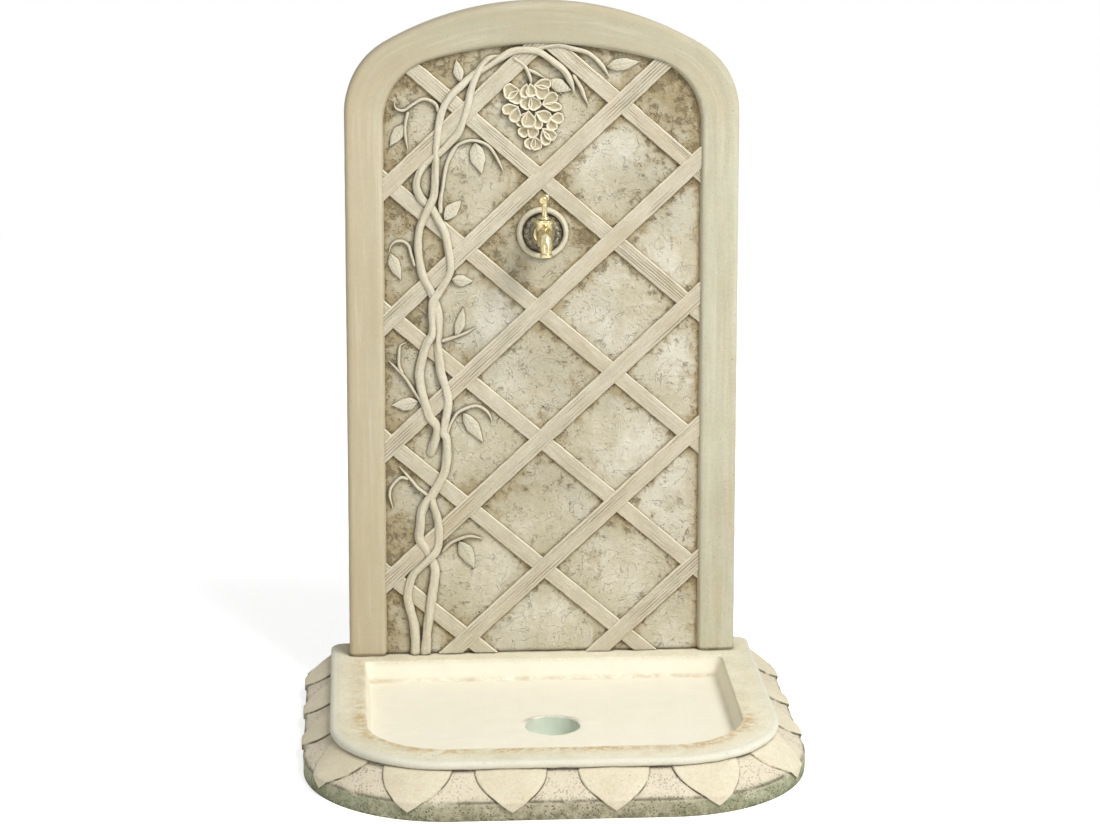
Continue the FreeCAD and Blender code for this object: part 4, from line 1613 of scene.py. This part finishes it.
TRELLIS = (
    Lattice(Way.RISING, (-71.0, 118.0, 301.0, 483.0, 655.0, 834.0), 43.0, 22.7, 5.0, 1.0,
            ((-0.62, 1.0), (-0.28, 0.9), (0.02, 0.8), (0.34, 1.0), (0.68, 0.8))),
    Lattice(Way.FALLING, (-66.0, 121.0, 297.0, 472.0, 651.0, 838.0), 40.5, 21.0, 3.5, 2.0,
            ((-0.60, 0.8), (-0.28, 0.8), (0.04, 0.8), (0.34, 0.8), (0.64, 0.8)), 600.0, 0.4),
)


# Vine


@dataclass(frozen=True)
class Strand:
    """One stem or shoot, as a route over the panel."""

    route: tuple
    # Thickness at the start and the end, and how far it stands out from the field
    thick: float
    end: float
    top: float
    # Where it is raised or lowered to cross another, how rough its bark is, and how long its tip is
    raised: tuple = ()
    bark: float = 1.0
    taper: float = 16.0

    SPACING = 2.0

    def mesh(self, seed: float) -> bmesh.types.BMesh:
        """Makes the strand.

        Args:
            seed: shifts its bark pattern.

        Returns:
            Its closed mesh.
        """
        line = flowing(self.route, self.SPACING)
        sides = 22 if self.thick > 7 else 14
        rows: list[Row] = []
        total = len(line) - 1
        travelled = 0.0
        for j, spot in enumerate(line):
            ahead = line[min(total, j + 1)] - line[max(0, j - 1)]
            along = ahead.normalized()
            travelled += (spot - line[max(0, j - 1)]).length
            share = j / total
            radius = (self.thick + (self.end - self.thick) * share) / 2
            radius *= 1 + 0.13 * waver((travelled, seed * 13, 2), 26) * self.bark
            near_start, near_end = j * self.SPACING, (total - j) * self.SPACING
            tip = math.sqrt(max(0.06, 1 - (1 - min(1.0, near_start / max(3.0, radius))) ** 2))
            tip *= max(0.16, min(1.0, near_end / self.taper)) ** 0.6
            lift = sum(rise * hump((spot - Vector(place)).length, 0.0, 13.0) for place, rise in self.raised)
            high = (self.top + SUNK) / 2 * (radius * 2 / self.thick) ** 0.5
            middle = self.top - high + lift
            row: Row = []
            for k in range(sides):
                turn = math.tau * k / sides
                groove = hump(math.sin(1.5 * turn + travelled / 26 + seed), 0.0, 0.24)
                ridge = 1 + self.bark * (0.050 * math.sin(3 * turn + travelled / 21 + seed) - 0.17 * groove
                                         + 0.045 * math.sin(7 * turn - travelled / 34 + seed * 2)
                                         + 0.06 * waver((travelled, turn * 4, seed), 7))
                wide = radius * math.cos(turn) * ridge * tip
                out = high * math.sin(turn) * ridge * tip
                side = Vector((-along.y, along.x)) * wide
                row.append(Vector((spot.x + side.x, FIELD_Y - middle - out,
                                   RIM_Z + max(0.6, spot.y + side.y))))
            rows.append(row)
        # Painted shade on the stem's flanks and underside
        flank_shade = [1.0 - soft(math.sin(math.tau * k / sides), -0.25, 0.45) for k in range(sides)]
        return loft(rows, {"hollow_shade": [flank_shade] * len(rows)})


# Routes over the panel as (x, height above the rim)
MAIN_STEM = (
    (-162, -9), (-158, 32), (-155, 58), (-151, 85), (-148, 105), (-147, 122), (-156, 144), (-167, 163),
    (-166, 182), (-164, 202), (-157, 216), (-149, 226), (-133, 255), (-129, 281), (-130, 303), (-134, 311),
    (-130, 332), (-127, 352), (-130, 372), (-136, 392), (-138, 412), (-140, 432), (-139, 457), (-140, 477),
    (-148, 502), (-158, 522), (-163, 542), (-165, 565), (-163, 585), (-157, 602), (-149, 618), (-143, 633),
    (-141, 662), (-140, 691), (-136, 724), (-130, 745), (-119, 762), (-105, 775), (-90, 788), (-75, 797),
    (-52, 812), (-37, 819), (-19, 820), (-4, 817), (16, 803), (29, 792), (37, 778), (41, 766),
)
SECOND_STEM = (
    (-152, 277), (-142, 315), (-152, 332), (-158, 352), (-163, 372), (-165, 392), (-161, 412), (-155, 432),
    (-147, 446), (-147, 473), (-146, 489), (-138, 502), (-129, 516), (-123, 530), (-123, 545), (-126, 565),
    (-130, 583), (-138, 598), (-147, 614), (-159, 625), (-166, 641), (-164, 656), (-156, 670), (-146, 679),
    (-133, 689), (-119, 703), (-110, 714), (-104, 729), (-98, 748), (-94, 767), (-88, 784), (-80, 799),
    (-70, 809), (-57, 813),
)
LEFT_STEM = (
    (-175, -9), (-175, 33), (-181, 64), (-184, 85), (-178, 110), (-168, 122), (-154, 136), (-144, 148),
    (-141, 163), (-141, 182), (-144, 198), (-149, 213), (-150, 232),
)
STEMS = (
    Strand(MAIN_STEM, 13.6, 8.6, 8.6, (
        ((-149, 132), -2.0), ((-158, 150), -1.2), ((-151, 674), 1.8), ((-150, 617), 1.8), ((-143, 488), -1.8),
        ((-140, 440), -1.6), ((-92, 786), -1.6))),
    Strand(SECOND_STEM, 12.8, 9.0, 8.6, (
        ((-152, 277), -4.0), ((-151, 674), -1.8), ((-150, 617), -1.8), ((-143, 488), 1.8), ((-148, 440), 1.8),
        ((-92, 776), 1.6))),
    Strand(LEFT_STEM, 13.6, 10.0, 8.6, (((-152, 138), 1.6), ((-150, 232), -3.0))),
)
SHOOTS = (
    Strand(((39, 788), (50, 771), (54, 761), (60, 748)), 6.0, 4.5, 6.2),
    Strand(((-135, 606), (-135, 625), (-132, 641), (-129, 660), (-125, 675), (-116, 691), (-108, 700)),
           6.0, 5.5, 6.0),
    Strand(((-10, 821), (19, 826), (42, 821), (59, 816), (73, 805), (81, 795), (87, 785)), 7.5, 5.0, 6.2),
    Strand(((-40, 811), (-28, 803), (-21, 795), (-16, 782), (-15, 770)), 5.5, 5.0, 6.6),
    Strand(((-21, 795), (-9, 790), (5, 782)), 5.0, 4.5, 6.0),
    Strand(((12, 770), (18, 769), (23, 764.5), (27, 760)), 2.8, 1.8, 4.5),
)
TENDRILS = tuple(Strand(route, 4.8, 3.6, 6.0, (), 0.5) for route in (
    ((-136, 739), (-140, 750), (-150, 756), (-159, 756), (-171, 749), (-182, 742), (-192, 745), (-194, 752)),
    ((-176, 741), (-180, 724), (-180, 709), (-177, 691)),
    ((-129, 657), (-125, 676), (-116, 693), (-102, 701), (-87, 702), (-71, 695), (-60, 679), (-51, 660)),
    ((-169, 536), (-174, 552), (-177, 563), (-184, 570), (-194, 570), (-201, 564), (-203, 556)),
    ((-137, 435), (-118, 441), (-102, 447), (-88, 455)),
    ((-160, 348), (-175, 372), (-187, 390), (-206, 410)),
    ((-187, 391), (-192, 402), (-192, 418), (-190, 430), (-182, 434)),
    ((-130, 307), (-124, 323), (-116, 336), (-105, 343), (-89, 347), (-77, 341), (-71, 333), (-68, 324)),
    ((-153, 222), (-169, 235), (-177, 245), (-194, 265)),
    ((-180, 247), (-192, 249), (-204, 237), (-207, 225), (-203, 207)),
    ((-138, 144), (-126, 156), (-114, 162), (-100, 166), (-88, 164), (-80, 161)),
))


@dataclass(frozen=True)
class Blade:
    """One leaf of the vine, from its stalk to its tip."""

    base: tuple
    tip: tuple
    width: float
    top: float = 5.6
    ribs: float = 0.0

    STEPS, ACROSS, VEINS = 34, 20, 6.5
    UNDER = 2.2

    def mesh(self, seed: float) -> bmesh.types.BMesh:
        """Makes the leaf.

        Args:
            seed: shifts its unevenness.

        Returns:
            Its closed mesh.
        """
        start, stop = Vector(self.base), Vector(self.tip)
        along = (stop - start).normalized()
        side = Vector((-along.y, along.x))
        length = (stop - start).length
        bend = 0.10 * length * waver((seed, 3, 1), 0.7)
        rows: list[Row] = []
        veins: list[list[float]] = []
        for j in range(self.STEPS + 1):
            t = j / self.STEPS
            half = self.width / 2 * max(0.0, math.sin(math.pi * t ** 0.80)) ** 1.12
            half *= 1 + 0.04 * math.sin(t * 17 + seed)
            row: Row = []
            vein_shade: list[float] = []
            for k, a in enumerate(crosswise(self.ACROSS)):
                side_vein = 1 - abs(math.sin(math.pi * (self.VEINS * t - 1.6 * abs(a))))
                fold = max(0.9 * hump(a, 0.0, 0.10), 0.8 * side_vein * (1 - abs(a) ** 6)) * (1 - t ** 3)
                lift = self.top * (0.50 + 0.50 * max(0.0, 1 - a * a) ** 0.6) * (1 - 0.30 * t)
                lift -= 1.1 * fold * (1 - self.ribs)
                lift += self.ribs * math.cos(math.tau * self.VEINS * t) * (1 - a ** 4)
                lift += 0.25 * waver((t * 20, a * 8, seed), 3)
                over = k <= self.ACROSS
                spot = start + along * (length * t) + side * (a * half + bend * math.sin(math.pi * t))
                row.append(on_field(spot, lift if over else -self.UNDER))
                # Painted shade with dirt in the vein grooves
                vein_shade.append(0.6 * fold if over else 0.0)
            rows.append(row)
            veins.append(vein_shade)
        return loft(rows, {"hollow_shade": veins})


BLADES = (
    Blade((-107, 779), (-113, 808), 13), Blade((-182, 724), (-201, 695), 15),
    Blade((-89, 700), (-80, 658), 20), Blade((-130, 598), (-107, 624), 17),
    Blade((-202, 554), (-188, 518), 15), Blade((-121, 519), (-92, 516), 15),
    Blade((-116, 441), (-106, 482), 13), Blade((-167, 354), (-203, 349), 17),
    Blade((-107, 337), (-80, 296), 17), Blade((-114, 159), (-93, 120), 19),
    Blade((84, 798), (128, 804), 16), Blade((8, 780), (39, 767.5), 17.5, 5.6, 0.55),
)


@dataclass
class Vine:
    """The twisted stems, the shoots and the leaves of the vine."""

    def build(self, bench: Workbench) -> None:
        """Makes the stems, the tendrils and the leaves.

        Args:
            bench: where their pieces are made.
        """
        for name, shapes, first, shift, finish, node, crease in (
                ("vine_woody_stems", STEMS + SHOOTS, 0, 1.7, "vine", "vine_stems", 80.0),
                ("vine_curls", TENDRILS, 20, 1.3, "vine", "vine_tendrils", 80.0),
                ("vine_leaf_blades", BLADES, 0, 2.3, "leaf", "vine_leaves", 60.0)):
            made = [shape.mesh(first + k * shift) for k, shape in enumerate(shapes)]
            bench.piece(name, bench.joined(made), finish, [node], crease=crease)


@dataclass(frozen=True)
class Petal:
    """One petal, a drop with a raised rim and a dished middle: its root, heading in degrees and size."""

    x: float
    h: float
    heading: float
    length: float
    width: float
    base: float

    STEPS, ACROSS = 28, 20
    WIDEST = 0.62
    HIGHEST = 8.8
    ROOT = 2
    UNDER = 2.0

    def half_at(self, t: float) -> float:
        """Gives half the petal's width.

        Args:
            t: the share of its length.

        Returns:
            The half width in millimetres.
        """
        widest = self.width * 0.58
        if t < self.WIDEST:
            return widest * math.sin(math.pi / 2 * t / self.WIDEST) ** 1.15
        return widest * max(0.0, 1 - ((t - self.WIDEST) / (1 - self.WIDEST)) ** 2) ** 0.45

    def mesh(self, seed: float) -> bmesh.types.BMesh:
        """Makes the petal.

        Args:
            seed: shifts its unevenness.

        Returns:
            Its closed mesh.
        """
        turn = math.radians(self.heading)
        along = Vector((math.cos(turn), math.sin(turn)))
        side = Vector((-along.y, along.x))
        rows: list[Row] = []
        brightened: list[list[float]] = []
        hollow_shade: list[list[float]] = []
        for j in range(self.STEPS + 1):
            t = 1 - (1 - j / self.STEPS) ** 1.7
            half = self.half_at(t) * (1 + 0.03 * math.sin(t * 15 + seed))
            row: Row = []
            rims: list[float] = []
            for k, a in enumerate(crosswise(self.ACROSS)):
                gap = min((1 - abs(a)) * half, (1 - t) * self.length)
                rim = hump(gap, 1.2, 1.7) * soft(t, -0.12, 0.10)
                lift = self.base + 1.2 * t + 2.5 * rim + 0.8 * hump(t, 0.0, 0.25)
                lift -= 0.5 * (1 - a * a) * soft(t, 0.1, 0.5) + 0.9 * (1 - soft(gap, 0.0, 0.8))
                lift += 0.20 * waver((t * 30, a * 12, seed * 5), 5)
                over = k <= self.ACROSS
                out = (self.length + self.ROOT) * t - self.ROOT
                spot = Vector((self.x, self.h)) + along * out + side * (a * half)
                row.append(on_field(spot, min(self.HIGHEST, lift) if over else -self.UNDER))
                rims.append(rim if over else 0.0)
            rows.append(row)
            # The rim is paled with wear and painted highlight; the dished middle is darkened with painted
            # shade and dirt
            brightened.append(rims)
            hollow_shade.append([(1 - rim) * soft(t, 0.08, 0.4) for rim in rims])
        return loft(rows, {"brightened": brightened, "hollow_shade": hollow_shade})


PETALS = tuple(Petal(*row) for row in (
    (-31.6, 768, 189, 20.5, 18.5, 3.6), (-31.6, 767, -118, 17.8, 17.5, 3.4),
    (-21.1, 775.5, -105, 18.5, 11.5, 4.6), (-16.7, 775.5, -80, 17, 13.5, 5.2),
    (-10.8, 774.3, 7, 22, 12.5, 4.2), (-10.5, 773.8, -42, 22, 17, 4.8), (-16, 758.8, -124, 18, 15.5, 3.2),
    (-16, 758.8, -60, 18.5, 16, 3.4), (-0.4, 749.2, 35, 23.5, 13.5, 3.2), (0.2, 748.6, -8, 25, 11, 3.8),
    (-32.7, 746.2, 194, 21.5, 12.8, 3.0), (-32.7, 745.5, -109, 20.5, 14, 3.8),
    (-21, 738.5, -124, 21, 11.5, 2.6), (-18.9, 740.3, -90, 21.5, 17.5, 5.0),
    (-8.9, 738.5, -23, 21.5, 14.5, 3.6), (-8.7, 738, -80, 22, 11.5, 2.8), (10.3, 730.4, 5, 17.5, 13.5, 3.0),
    (10, 729.8, -76, 15.8, 13.5, 2.6), (-19.4, 719.5, -134, 15.5, 13.5, 2.2),
    (-19, 719.5, -47, 16.5, 14.5, 2.4), (-0.2, 717.2, -37, 21.5, 13, 3.2),
    (-0.4, 715.5, -71, 21, 12.5, 2.6), (-11.2, 706.6, -122, 17.5, 14.5, 2.0),
    (-10.9, 706.4, -76, 17.5, 14.5, 2.2),
))


@dataclass
class Cluster:
    """The hanging cluster of flowers."""

    petals: tuple = PETALS

    def build(self, bench: Workbench) -> None:
        """Makes the petals.

        Args:
            bench: where their piece is made.
        """
        made = [petal.mesh(k * 1.9) for k, petal in enumerate(self.petals)]
        bench.piece("flower_petals", bench.joined(made), "flower", ["flower_cluster"],
                    crease=60.0)


# Tap

TAP_SPOT = Vector((0, FIELD_Y, TAP_Z))
UP = Vector((0, 0, 1))
BACK = Vector((0, 1, 0))


@dataclass
class StoneRing:
    """The half-round stone ring round the cock."""

    outer: float = 35.0
    width: float = 8.5
    rise: float = 8.0
    steps: int = 96
    bends: int = 15

    def build(self, bench: Workbench) -> None:
        """Makes the ring.

        Args:
            bench: where its piece is made.
        """
        middle = self.outer - self.width / 2
        rows: list[Row] = []
        for j in range(self.steps):
            turn = math.tau * j / self.steps
            arm = Vector((math.cos(turn), 0, math.sin(turn)))
            row: Row = []
            for k in range(self.bends + 1):
                bend = math.pi * k / self.bends
                out = self.rise * math.sin(bend) ** 0.8 - 0.6
                row.append(TAP_SPOT + arm * (middle + self.width / 2 * math.cos(bend)) + Vector((0, -out, 0)))
            for side in (-1, 1):
                row.append(Vector((0, FIELD_Y + SUNK, TAP_Z)) + arm * (middle + side * self.width / 2))
            rows.append(row)
        bm = loft(rows + rows[:1])
        roughen(bm, depth=0.7, size=7.0)
        bench.piece("stone_tap_ring", bm, "ring", ["tap_ring"], crease=60.0)


@dataclass
class Rosette:
    """The dark fluted disc behind the cock."""

    radius: float = 25.5
    rise: float = 8.0
    bore: float = 10.8
    flutes: int = 16

    # The disc's face from the cock outwards: radius, how far it drops from the full rise
    FACE = ((15.0, 0.0), (16.0, 0.5), (17.2, 2.0), (18.6, 3.2), (20.0, 4.0), (21.4, 4.6), (22.4, 4.8),
            (23.2, 4.4), (24.2, 3.8), (25.1, 4.4))

    def disc(self) -> bmesh.types.BMesh:
        """Turns the smooth disc.

        Returns:
            Its closed mesh.
        """
        profile = [(self.bore, 0.0), (self.bore, self.rise - 0.2), (self.bore + 0.8, self.rise)]
        profile += [(radius, self.rise - drop) for radius, drop in self.FACE]
        profile += [(self.radius, self.rise - 5.6), (self.radius, 0.6), (self.radius - 0.4, 0.0)]
        return turned(profile, TAP_SPOT, -BACK, 192)

    def build(self, bench: Workbench) -> None:
        """Turns the disc and presses its flutes.

        Args:
            bench: where its piece is made.
        """
        bm = self.disc()
        for vertex in bm.verts:
            if FIELD_Y - vertex.co.y < 0.1:
                continue
            arm = Vector((vertex.co.x, 0, vertex.co.z - TAP_Z))
            turn = math.atan2(arm.z, arm.x)
            curl = 0.16 * math.sin((arm.length - 14) / 11 * math.pi)
            wave = math.cos(self.flutes / 2 * (turn + curl))
            veins = math.cos(self.flutes * 2.5 * (turn + 2.2 * curl))
            zone = soft(arm.length, 14.0, 17.0) * (1 - soft(arm.length, 23.6, 24.8))
            vertex.co.y += zone * (1.5 * (1 - abs(wave) ** 0.6) + 0.22 * veins)
            rim = soft(arm.length, 24.0, 25.2)
            vertex.co -= arm * (0.02 * rim * (1 - wave) * 0.5)
        bmesh.ops.recalc_face_normals(bm, faces=bm.faces)
        bench.piece("pressed_rosette", bm, "rosette", ["wall_rosette"], crease=48.0)


@dataclass
class Cock:
    """The brass cock: casting, plug and key."""

    axis: Vector = field(default_factory=lambda: Vector((0, COCK_Y, TAP_Z)))
    face_y: float = 195.5
    foot: float = -21.0
    reach: float = 38.0
    bore: float = 4.6
    key_turn: float = 10.0
    bar_height: float = 50.0

    # Spout: how far ahead of the axis, how far above it, radius
    SPOUT = ((0.0, 3.5, 10.2), (12.0, 4.5, 10.1), (21.0, 4.2, 9.8), (28.5, 1.4, 9.4), (33.5, -3.4, 8.7),
             (36.6, -9.4, 7.8), (38.0, -15.6, 6.9))
    SPOUT_SIDES = 56

    # Profiles: radius, place along the axis
    MOUTH = (
        (6.7, 5.0), (7.2, 4.6), (7.9, 4.0), (8.2, 3.1), (8.2, 1.0), (7.9, 0.3), (7.3, 0.0), (5.4, 0.0),
        (4.9, 0.3), (4.7, 1.2), (4.6, 3.5))
    HOUSING = (
        (6.5, -13.0), (7.6, -13.0), (8.6, -12.3), (9.4, -10.4), (10.0, -7.6), (10.5, -4.0), (11.1, 2.0),
        (11.6, 8.0), (11.9, 12.5), (11.7, 15.6), (11.9, 16.8), (12.6, 17.8), (12.9, 18.8), (12.9, 21.6),
        (12.6, 22.6), (11.9, 23.0), (6.5, 23.0))
    PLUG = (
        (0.0, -18.5), (2.2, -18.5), (2.8, -17.9), (2.8, -13.0), (6.0, -13.0), (6.4, -12.6), (6.4, 23.3),
        (7.3, 23.3), (7.6, 23.6), (7.6, 24.3), (7.3, 25.2), (6.7, 26.2), (5.8, 27.1), (5.0, 27.6),
        (4.3, 28.1), (3.85, 28.9), (3.65, 30.4), (3.6, 33.0), (3.5, 38.0), (3.55, 42.0), (3.7, 44.6),
        (3.9, 46.0), (4.3, 47.6), (4.5, 49.2), (4.5, 50.8), (4.3, 52.2), (3.6, 53.5), (2.3, 54.2),
        (0.0, 54.4))
    HALF_BAR = (
        (0.0, 17.0), (3.4, 17.0), (4.4, 16.7), (4.9, 16.0), (5.0, 15.0), (5.0, 10.6), (4.8, 9.8),
        (4.2, 9.2), (3.4, 8.9), (2.9, 8.4), (2.55, 7.6), (2.4, 6.5), (2.4, 3.0))

    def housing(self) -> bmesh.types.BMesh:
        """Turns the upright housing round the plug."""
        return turned(self.HOUSING, self.axis, UP, 72)

    def neck(self) -> bmesh.types.BMesh:
        """Turns the neck, the collar against the rosette and the threaded tail.

        Returns:
            Its closed mesh.
        """
        back = self.face_y - COCK_Y
        profile = [(self.bore, 6.0), (8.0, 6.0), (8.0, 16.0), (8.0, 24.0), (8.3, 27.0), (9.4, 29.4),
                   (11.2, back - 5.0), (12.2, back - 4.7), (12.9, back - 4.0), (13.0, back - 3.2),
                   (13.0, back - 1.0), (12.6, back - 0.2), (12.2, back), (10.4, back), (10.4, back + 29.4),
                   (9.9, back + 30.0), (self.bore, back + 30.0)]
        return turned(profile, self.axis, BACK, 72)

    def hoop(self, ahead: float, up: float, radius: float, tilt: float) -> Row:
        """Goes once round the spout.

        Args:
            ahead: how far in front of the cock's axis its middle is.
            up: how far above it.
            radius: its radius.
            tilt: how far the spout points down there, in radians.

        Returns:
            Its points.
        """
        spot = self.axis + Vector((0, -ahead, up))
        rise = Vector((0, -math.sin(tilt), math.cos(tilt)))
        turns = (math.tau * k / self.SPOUT_SIDES for k in range(self.SPOUT_SIDES))
        return [spot + Vector((radius * math.cos(turn), 0, 0)) + rise * (radius * math.sin(turn))
                for turn in turns]

    def spout(self) -> bmesh.types.BMesh:
        """Sweeps the tapering spout forward and down to its ringed mouth.

        Returns:
            Its closed mesh, with the water way inside.
        """
        line = flowing(self.SPOUT, 1.6)
        rows: list[Row] = []
        inside: list[Row] = []
        for j, spot in enumerate(line):
            ahead = line[min(len(line) - 1, j + 1)] - line[max(0, j - 1)]
            share = soft(j / (len(line) - 1), 0.86, 1.0)
            tilt = math.atan2(-ahead.y, ahead.x) * (1 - share) + math.pi / 2 * share
            rows.append(self.hoop(spot.x, spot.y, spot.z, tilt))
            inside.append(self.hoop(spot.x, spot.y, self.bore, tilt))
        rows += [self.hoop(self.reach, self.foot + above, radius, math.pi / 2)
                 for radius, above in self.MOUTH]
        deepest = len(inside) // 3
        return loft(rows + inside[:deepest:-1])

    def plug(self) -> bmesh.types.BMesh:
        """Turns the plug with its screw below and its dome and stem above."""
        return turned(self.PLUG, self.axis, UP, 48)

    def bar(self) -> bmesh.types.BMesh:
        """Turns the key's cross bar with its two barrels.

        Returns:
            Its closed mesh.
        """
        profile = [*self.HALF_BAR, *((radius, -out) for radius, out in reversed(self.HALF_BAR))]
        turn = math.radians(self.key_turn)
        along = Vector((math.sin(turn), math.cos(turn), 0))
        return turned(profile, self.axis + UP * self.bar_height, along, 48)

    def build(self, bench: Workbench) -> None:
        """Makes the casting and the key.

        Args:
            bench: where their pieces are made.
        """
        casting = bench.joined([self.housing(), self.neck(), self.spout()])
        bench.piece("cock_casting", casting, "brass", ["tap_body"], crease=40.0)
        bench.piece("plug_and_stem", self.plug(), "brass", ["key_plug"], Body.KEY, 40.0)
        bench.piece("cross_bar", self.bar(), "bar_brass", ["key_bar"], Body.KEY, 40.0)


# Studio


@dataclass
class Studio:
    """Camera, lamps, floor and surroundings."""

    # The camera's place in metres, its angles in degrees and its lens, solved from the photograph
    place: tuple = (-0.1757, -2.8223, 1.0443)
    yaw: float = 3.513
    pitch: float = 11.997
    roll: float = 0.051
    focal_pixels: float = 2300.0
    picture_width: float = 1100.0
    sensor: float = 36.0
    sky: float = 0.37
    floor_half: float = 5.0
    floor_tone: tuple = (0.86, 0.86, 0.86, 1.0)
    floor_glow: float = 0.62

    WHITE = (1.0, 1.0, 1.0, 1.0)
    # Name, place, aim, size, power
    LAMPS = (
        ("key", (2.16, -2.8, 4.35), (0.0, 0.1, 0.45), (2.1, 2.1), 268.0),
        ("fill", (-2.0, -2.6, 1.2), (0.0, 0.1, 0.4), (1.6, 1.6), 12.0),
        ("strip", (1.73, -1.61, 1.53), (0.0, 0.15, 0.64), (0.4, 2.4), 9.0),
    )

    def camera(self) -> None:
        """Sets the camera where the photograph was taken from."""
        y, t, r = (math.radians(v) for v in (self.yaw, self.pitch, self.roll))
        ahead = Vector((math.sin(y) * math.cos(t), math.cos(y) * math.cos(t), -math.sin(t)))
        right = Vector((math.cos(y), -math.sin(y), 0))
        up = right.cross(ahead)
        level = right * math.cos(r) + up * math.sin(r)
        upright = up * math.cos(r) - right * math.sin(r)
        data = bpy.data.cameras.new("camera")
        data.sensor_fit = "HORIZONTAL"
        data.sensor_width = self.sensor
        data.lens = self.sensor * self.focal_pixels / self.picture_width
        made = placed("camera", data)
        turn = Matrix((level, upright, -ahead)).transposed()
        made.matrix_world = Matrix.Translation(Vector(self.place)) @ turn.to_4x4()
        bpy.context.scene.camera = made

    def lamp(self, name: str, place: tuple, aim: tuple, size: tuple, power: float) -> None:
        """Hangs one flat lamp.

        Args:
            name: the lamp's name.
            place: where it hangs.
            aim: what it points at.
            size: its width and height.
            power: its power in watts.
        """
        data = bpy.data.lights.new(name, "AREA")
        data.shape = "RECTANGLE"
        data.size, data.size_y = size
        data.energy = power
        made = placed(name, data)
        made.location = place
        made.rotation_euler = (Vector(aim) - Vector(place)).to_track_quat("-Z", "Y").to_euler()

    def world(self) -> None:
        """Makes the white surroundings that light the object softly."""
        world = bpy.data.worlds.new("surroundings")
        bpy.context.scene.world = world
        world.use_nodes = True
        around = Nodes(world.node_tree)
        lit, shown = (around.node("ShaderNodeBackground", None, {"Color": self.WHITE, "Strength": strength})
                      for strength in (self.sky, 1.0))
        mixed = around.node("ShaderNodeMixShader", None, {0: around.seen(), 1: lit, 2: shown})
        around.node("ShaderNodeOutputWorld", None, {"Surface": mixed})

    def floor(self) -> None:
        """Lays the pale floor, which shows white where nothing shades it."""
        bm = bmesh.new()
        bmesh.ops.create_grid(bm, x_segments=1, y_segments=1, size=self.floor_half)
        mesh = bpy.data.meshes.new("floor")
        bm.to_mesh(mesh)
        bm.free()
        made = placed("floor", mesh)
        s = Shader("pale_floor")
        matt = s.node("ShaderNodeBsdfDiffuse", None, {"Color": self.floor_tone, "Roughness": 0.0})
        glow = s.node("ShaderNodeEmission", None, {"Color": self.WHITE, "Strength": self.floor_glow})
        both = s.node("ShaderNodeAddShader", None, {0: matt, 1: glow})
        mesh.materials.append(s.finish(s.node("ShaderNodeMixShader", None, {0: s.seen(), 1: matt, 2: both})))

    def build(self) -> None:
        """Sets the whole studio."""
        self.camera()
        self.world()
        self.floor()
        for lamp in self.LAMPS:
            self.lamp(*lamp)
        bpy.context.scene.view_settings.view_transform = "Standard"
        log.info("studio set")


def finishes() -> dict[str, bpy.types.Material]:
    """Builds every finish.

    Returns:
        The finished materials by name.
    """
    made = (
        TroughStone("trough", tone(235, 229, 206), tone(214, 207, 180), 0.26, 0.08, 0.90, 0.006, 0.30, 0.60),
        CastStone("frieze", tone(224, 216, 192), tone(208, 198, 171), 0.16, 0.05, 0.60, 0.004, 0.12, 0.22),
        GrainStone("frame", tone(200, 196, 173), tone(184, 178, 154), 0.22, 0.10, 0.80, 0.008, 0.20, 0.34),
        FieldStone("field", tone(204, 197, 174), tone(190, 181, 155), 0.24, 0.10, 0.95, 0.008, 0.40, 0.95),
        GrainStone("lath", tone(207, 199, 178), tone(188, 179, 156), 0.20, 0.10, 0.80, 0.005, 0.16, 0.50,
                   lines=0.6, contrast=0.45, green=0.08, left=0.0),
        CastStone("vine", tone(220, 213, 193), tone(196, 188, 163), 0.22, 0.12, 0.90, 0.006, 0.15, 0.45),
        CastStone("leaf", tone(220, 215, 196), tone(198, 192, 168), 0.20, 0.12, 0.85, 0.005, 0.12, 0.40),
        CastStone("flower", tone(222, 212, 186), tone(204, 193, 164), 0.22, 0.10, 0.95, 0.005, 0.10, 0.35,
                  dull=0.62),
        CastStone("ring", tone(226, 219, 197), tone(200, 191, 165), 0.28, 0.12, 0.90, 0.006, 0.25, 0.45),
        AgedBrass("brass"),
        AgedBrass("bar_brass", tone(222, 208, 164), tone(176, 160, 118), tone(92, 80, 50), polish=0.22),
        AgedBrass("inner_brass", tone(196, 176, 118), tone(160, 140, 88), tone(70, 60, 36), polish=0.36),
        DarkMetal("rosette"),
        PlainMetal("zinc_steel"),
        FibreDisc("fibre"),
    )
    return {finish.name: finish.material() for finish in made}


# CAD nodes that are shown as they are, and their finishes
CARRIED = {"inlet_tube": "inner_brass", "plug_nut": "inner_brass", "anchor_sockets": "zinc_steel",
           "alignment_dowels": "zinc_steel", "rosette_washer": "fibre", "plug_washer": "fibre"}


def main() -> None:
    """Builds the scene round the frame; each piece logs its face count."""
    logging.basicConfig(level=logging.INFO, format="%(message)s")
    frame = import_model()
    bench = Workbench(finishes())
    trough = Trough()
    for assembly in (trough, LeafFrieze(trough), Panel(), *TRELLIS, Vine(), Cluster(), StoneRing(),
                     Rosette(), Cock()):
        assembly.build(bench)
    for node, finish in CARRIED.items():
        bench.carried(frame["nodes"][node], finish)
    Studio().build()


if __name__ == "__main__":
    main()
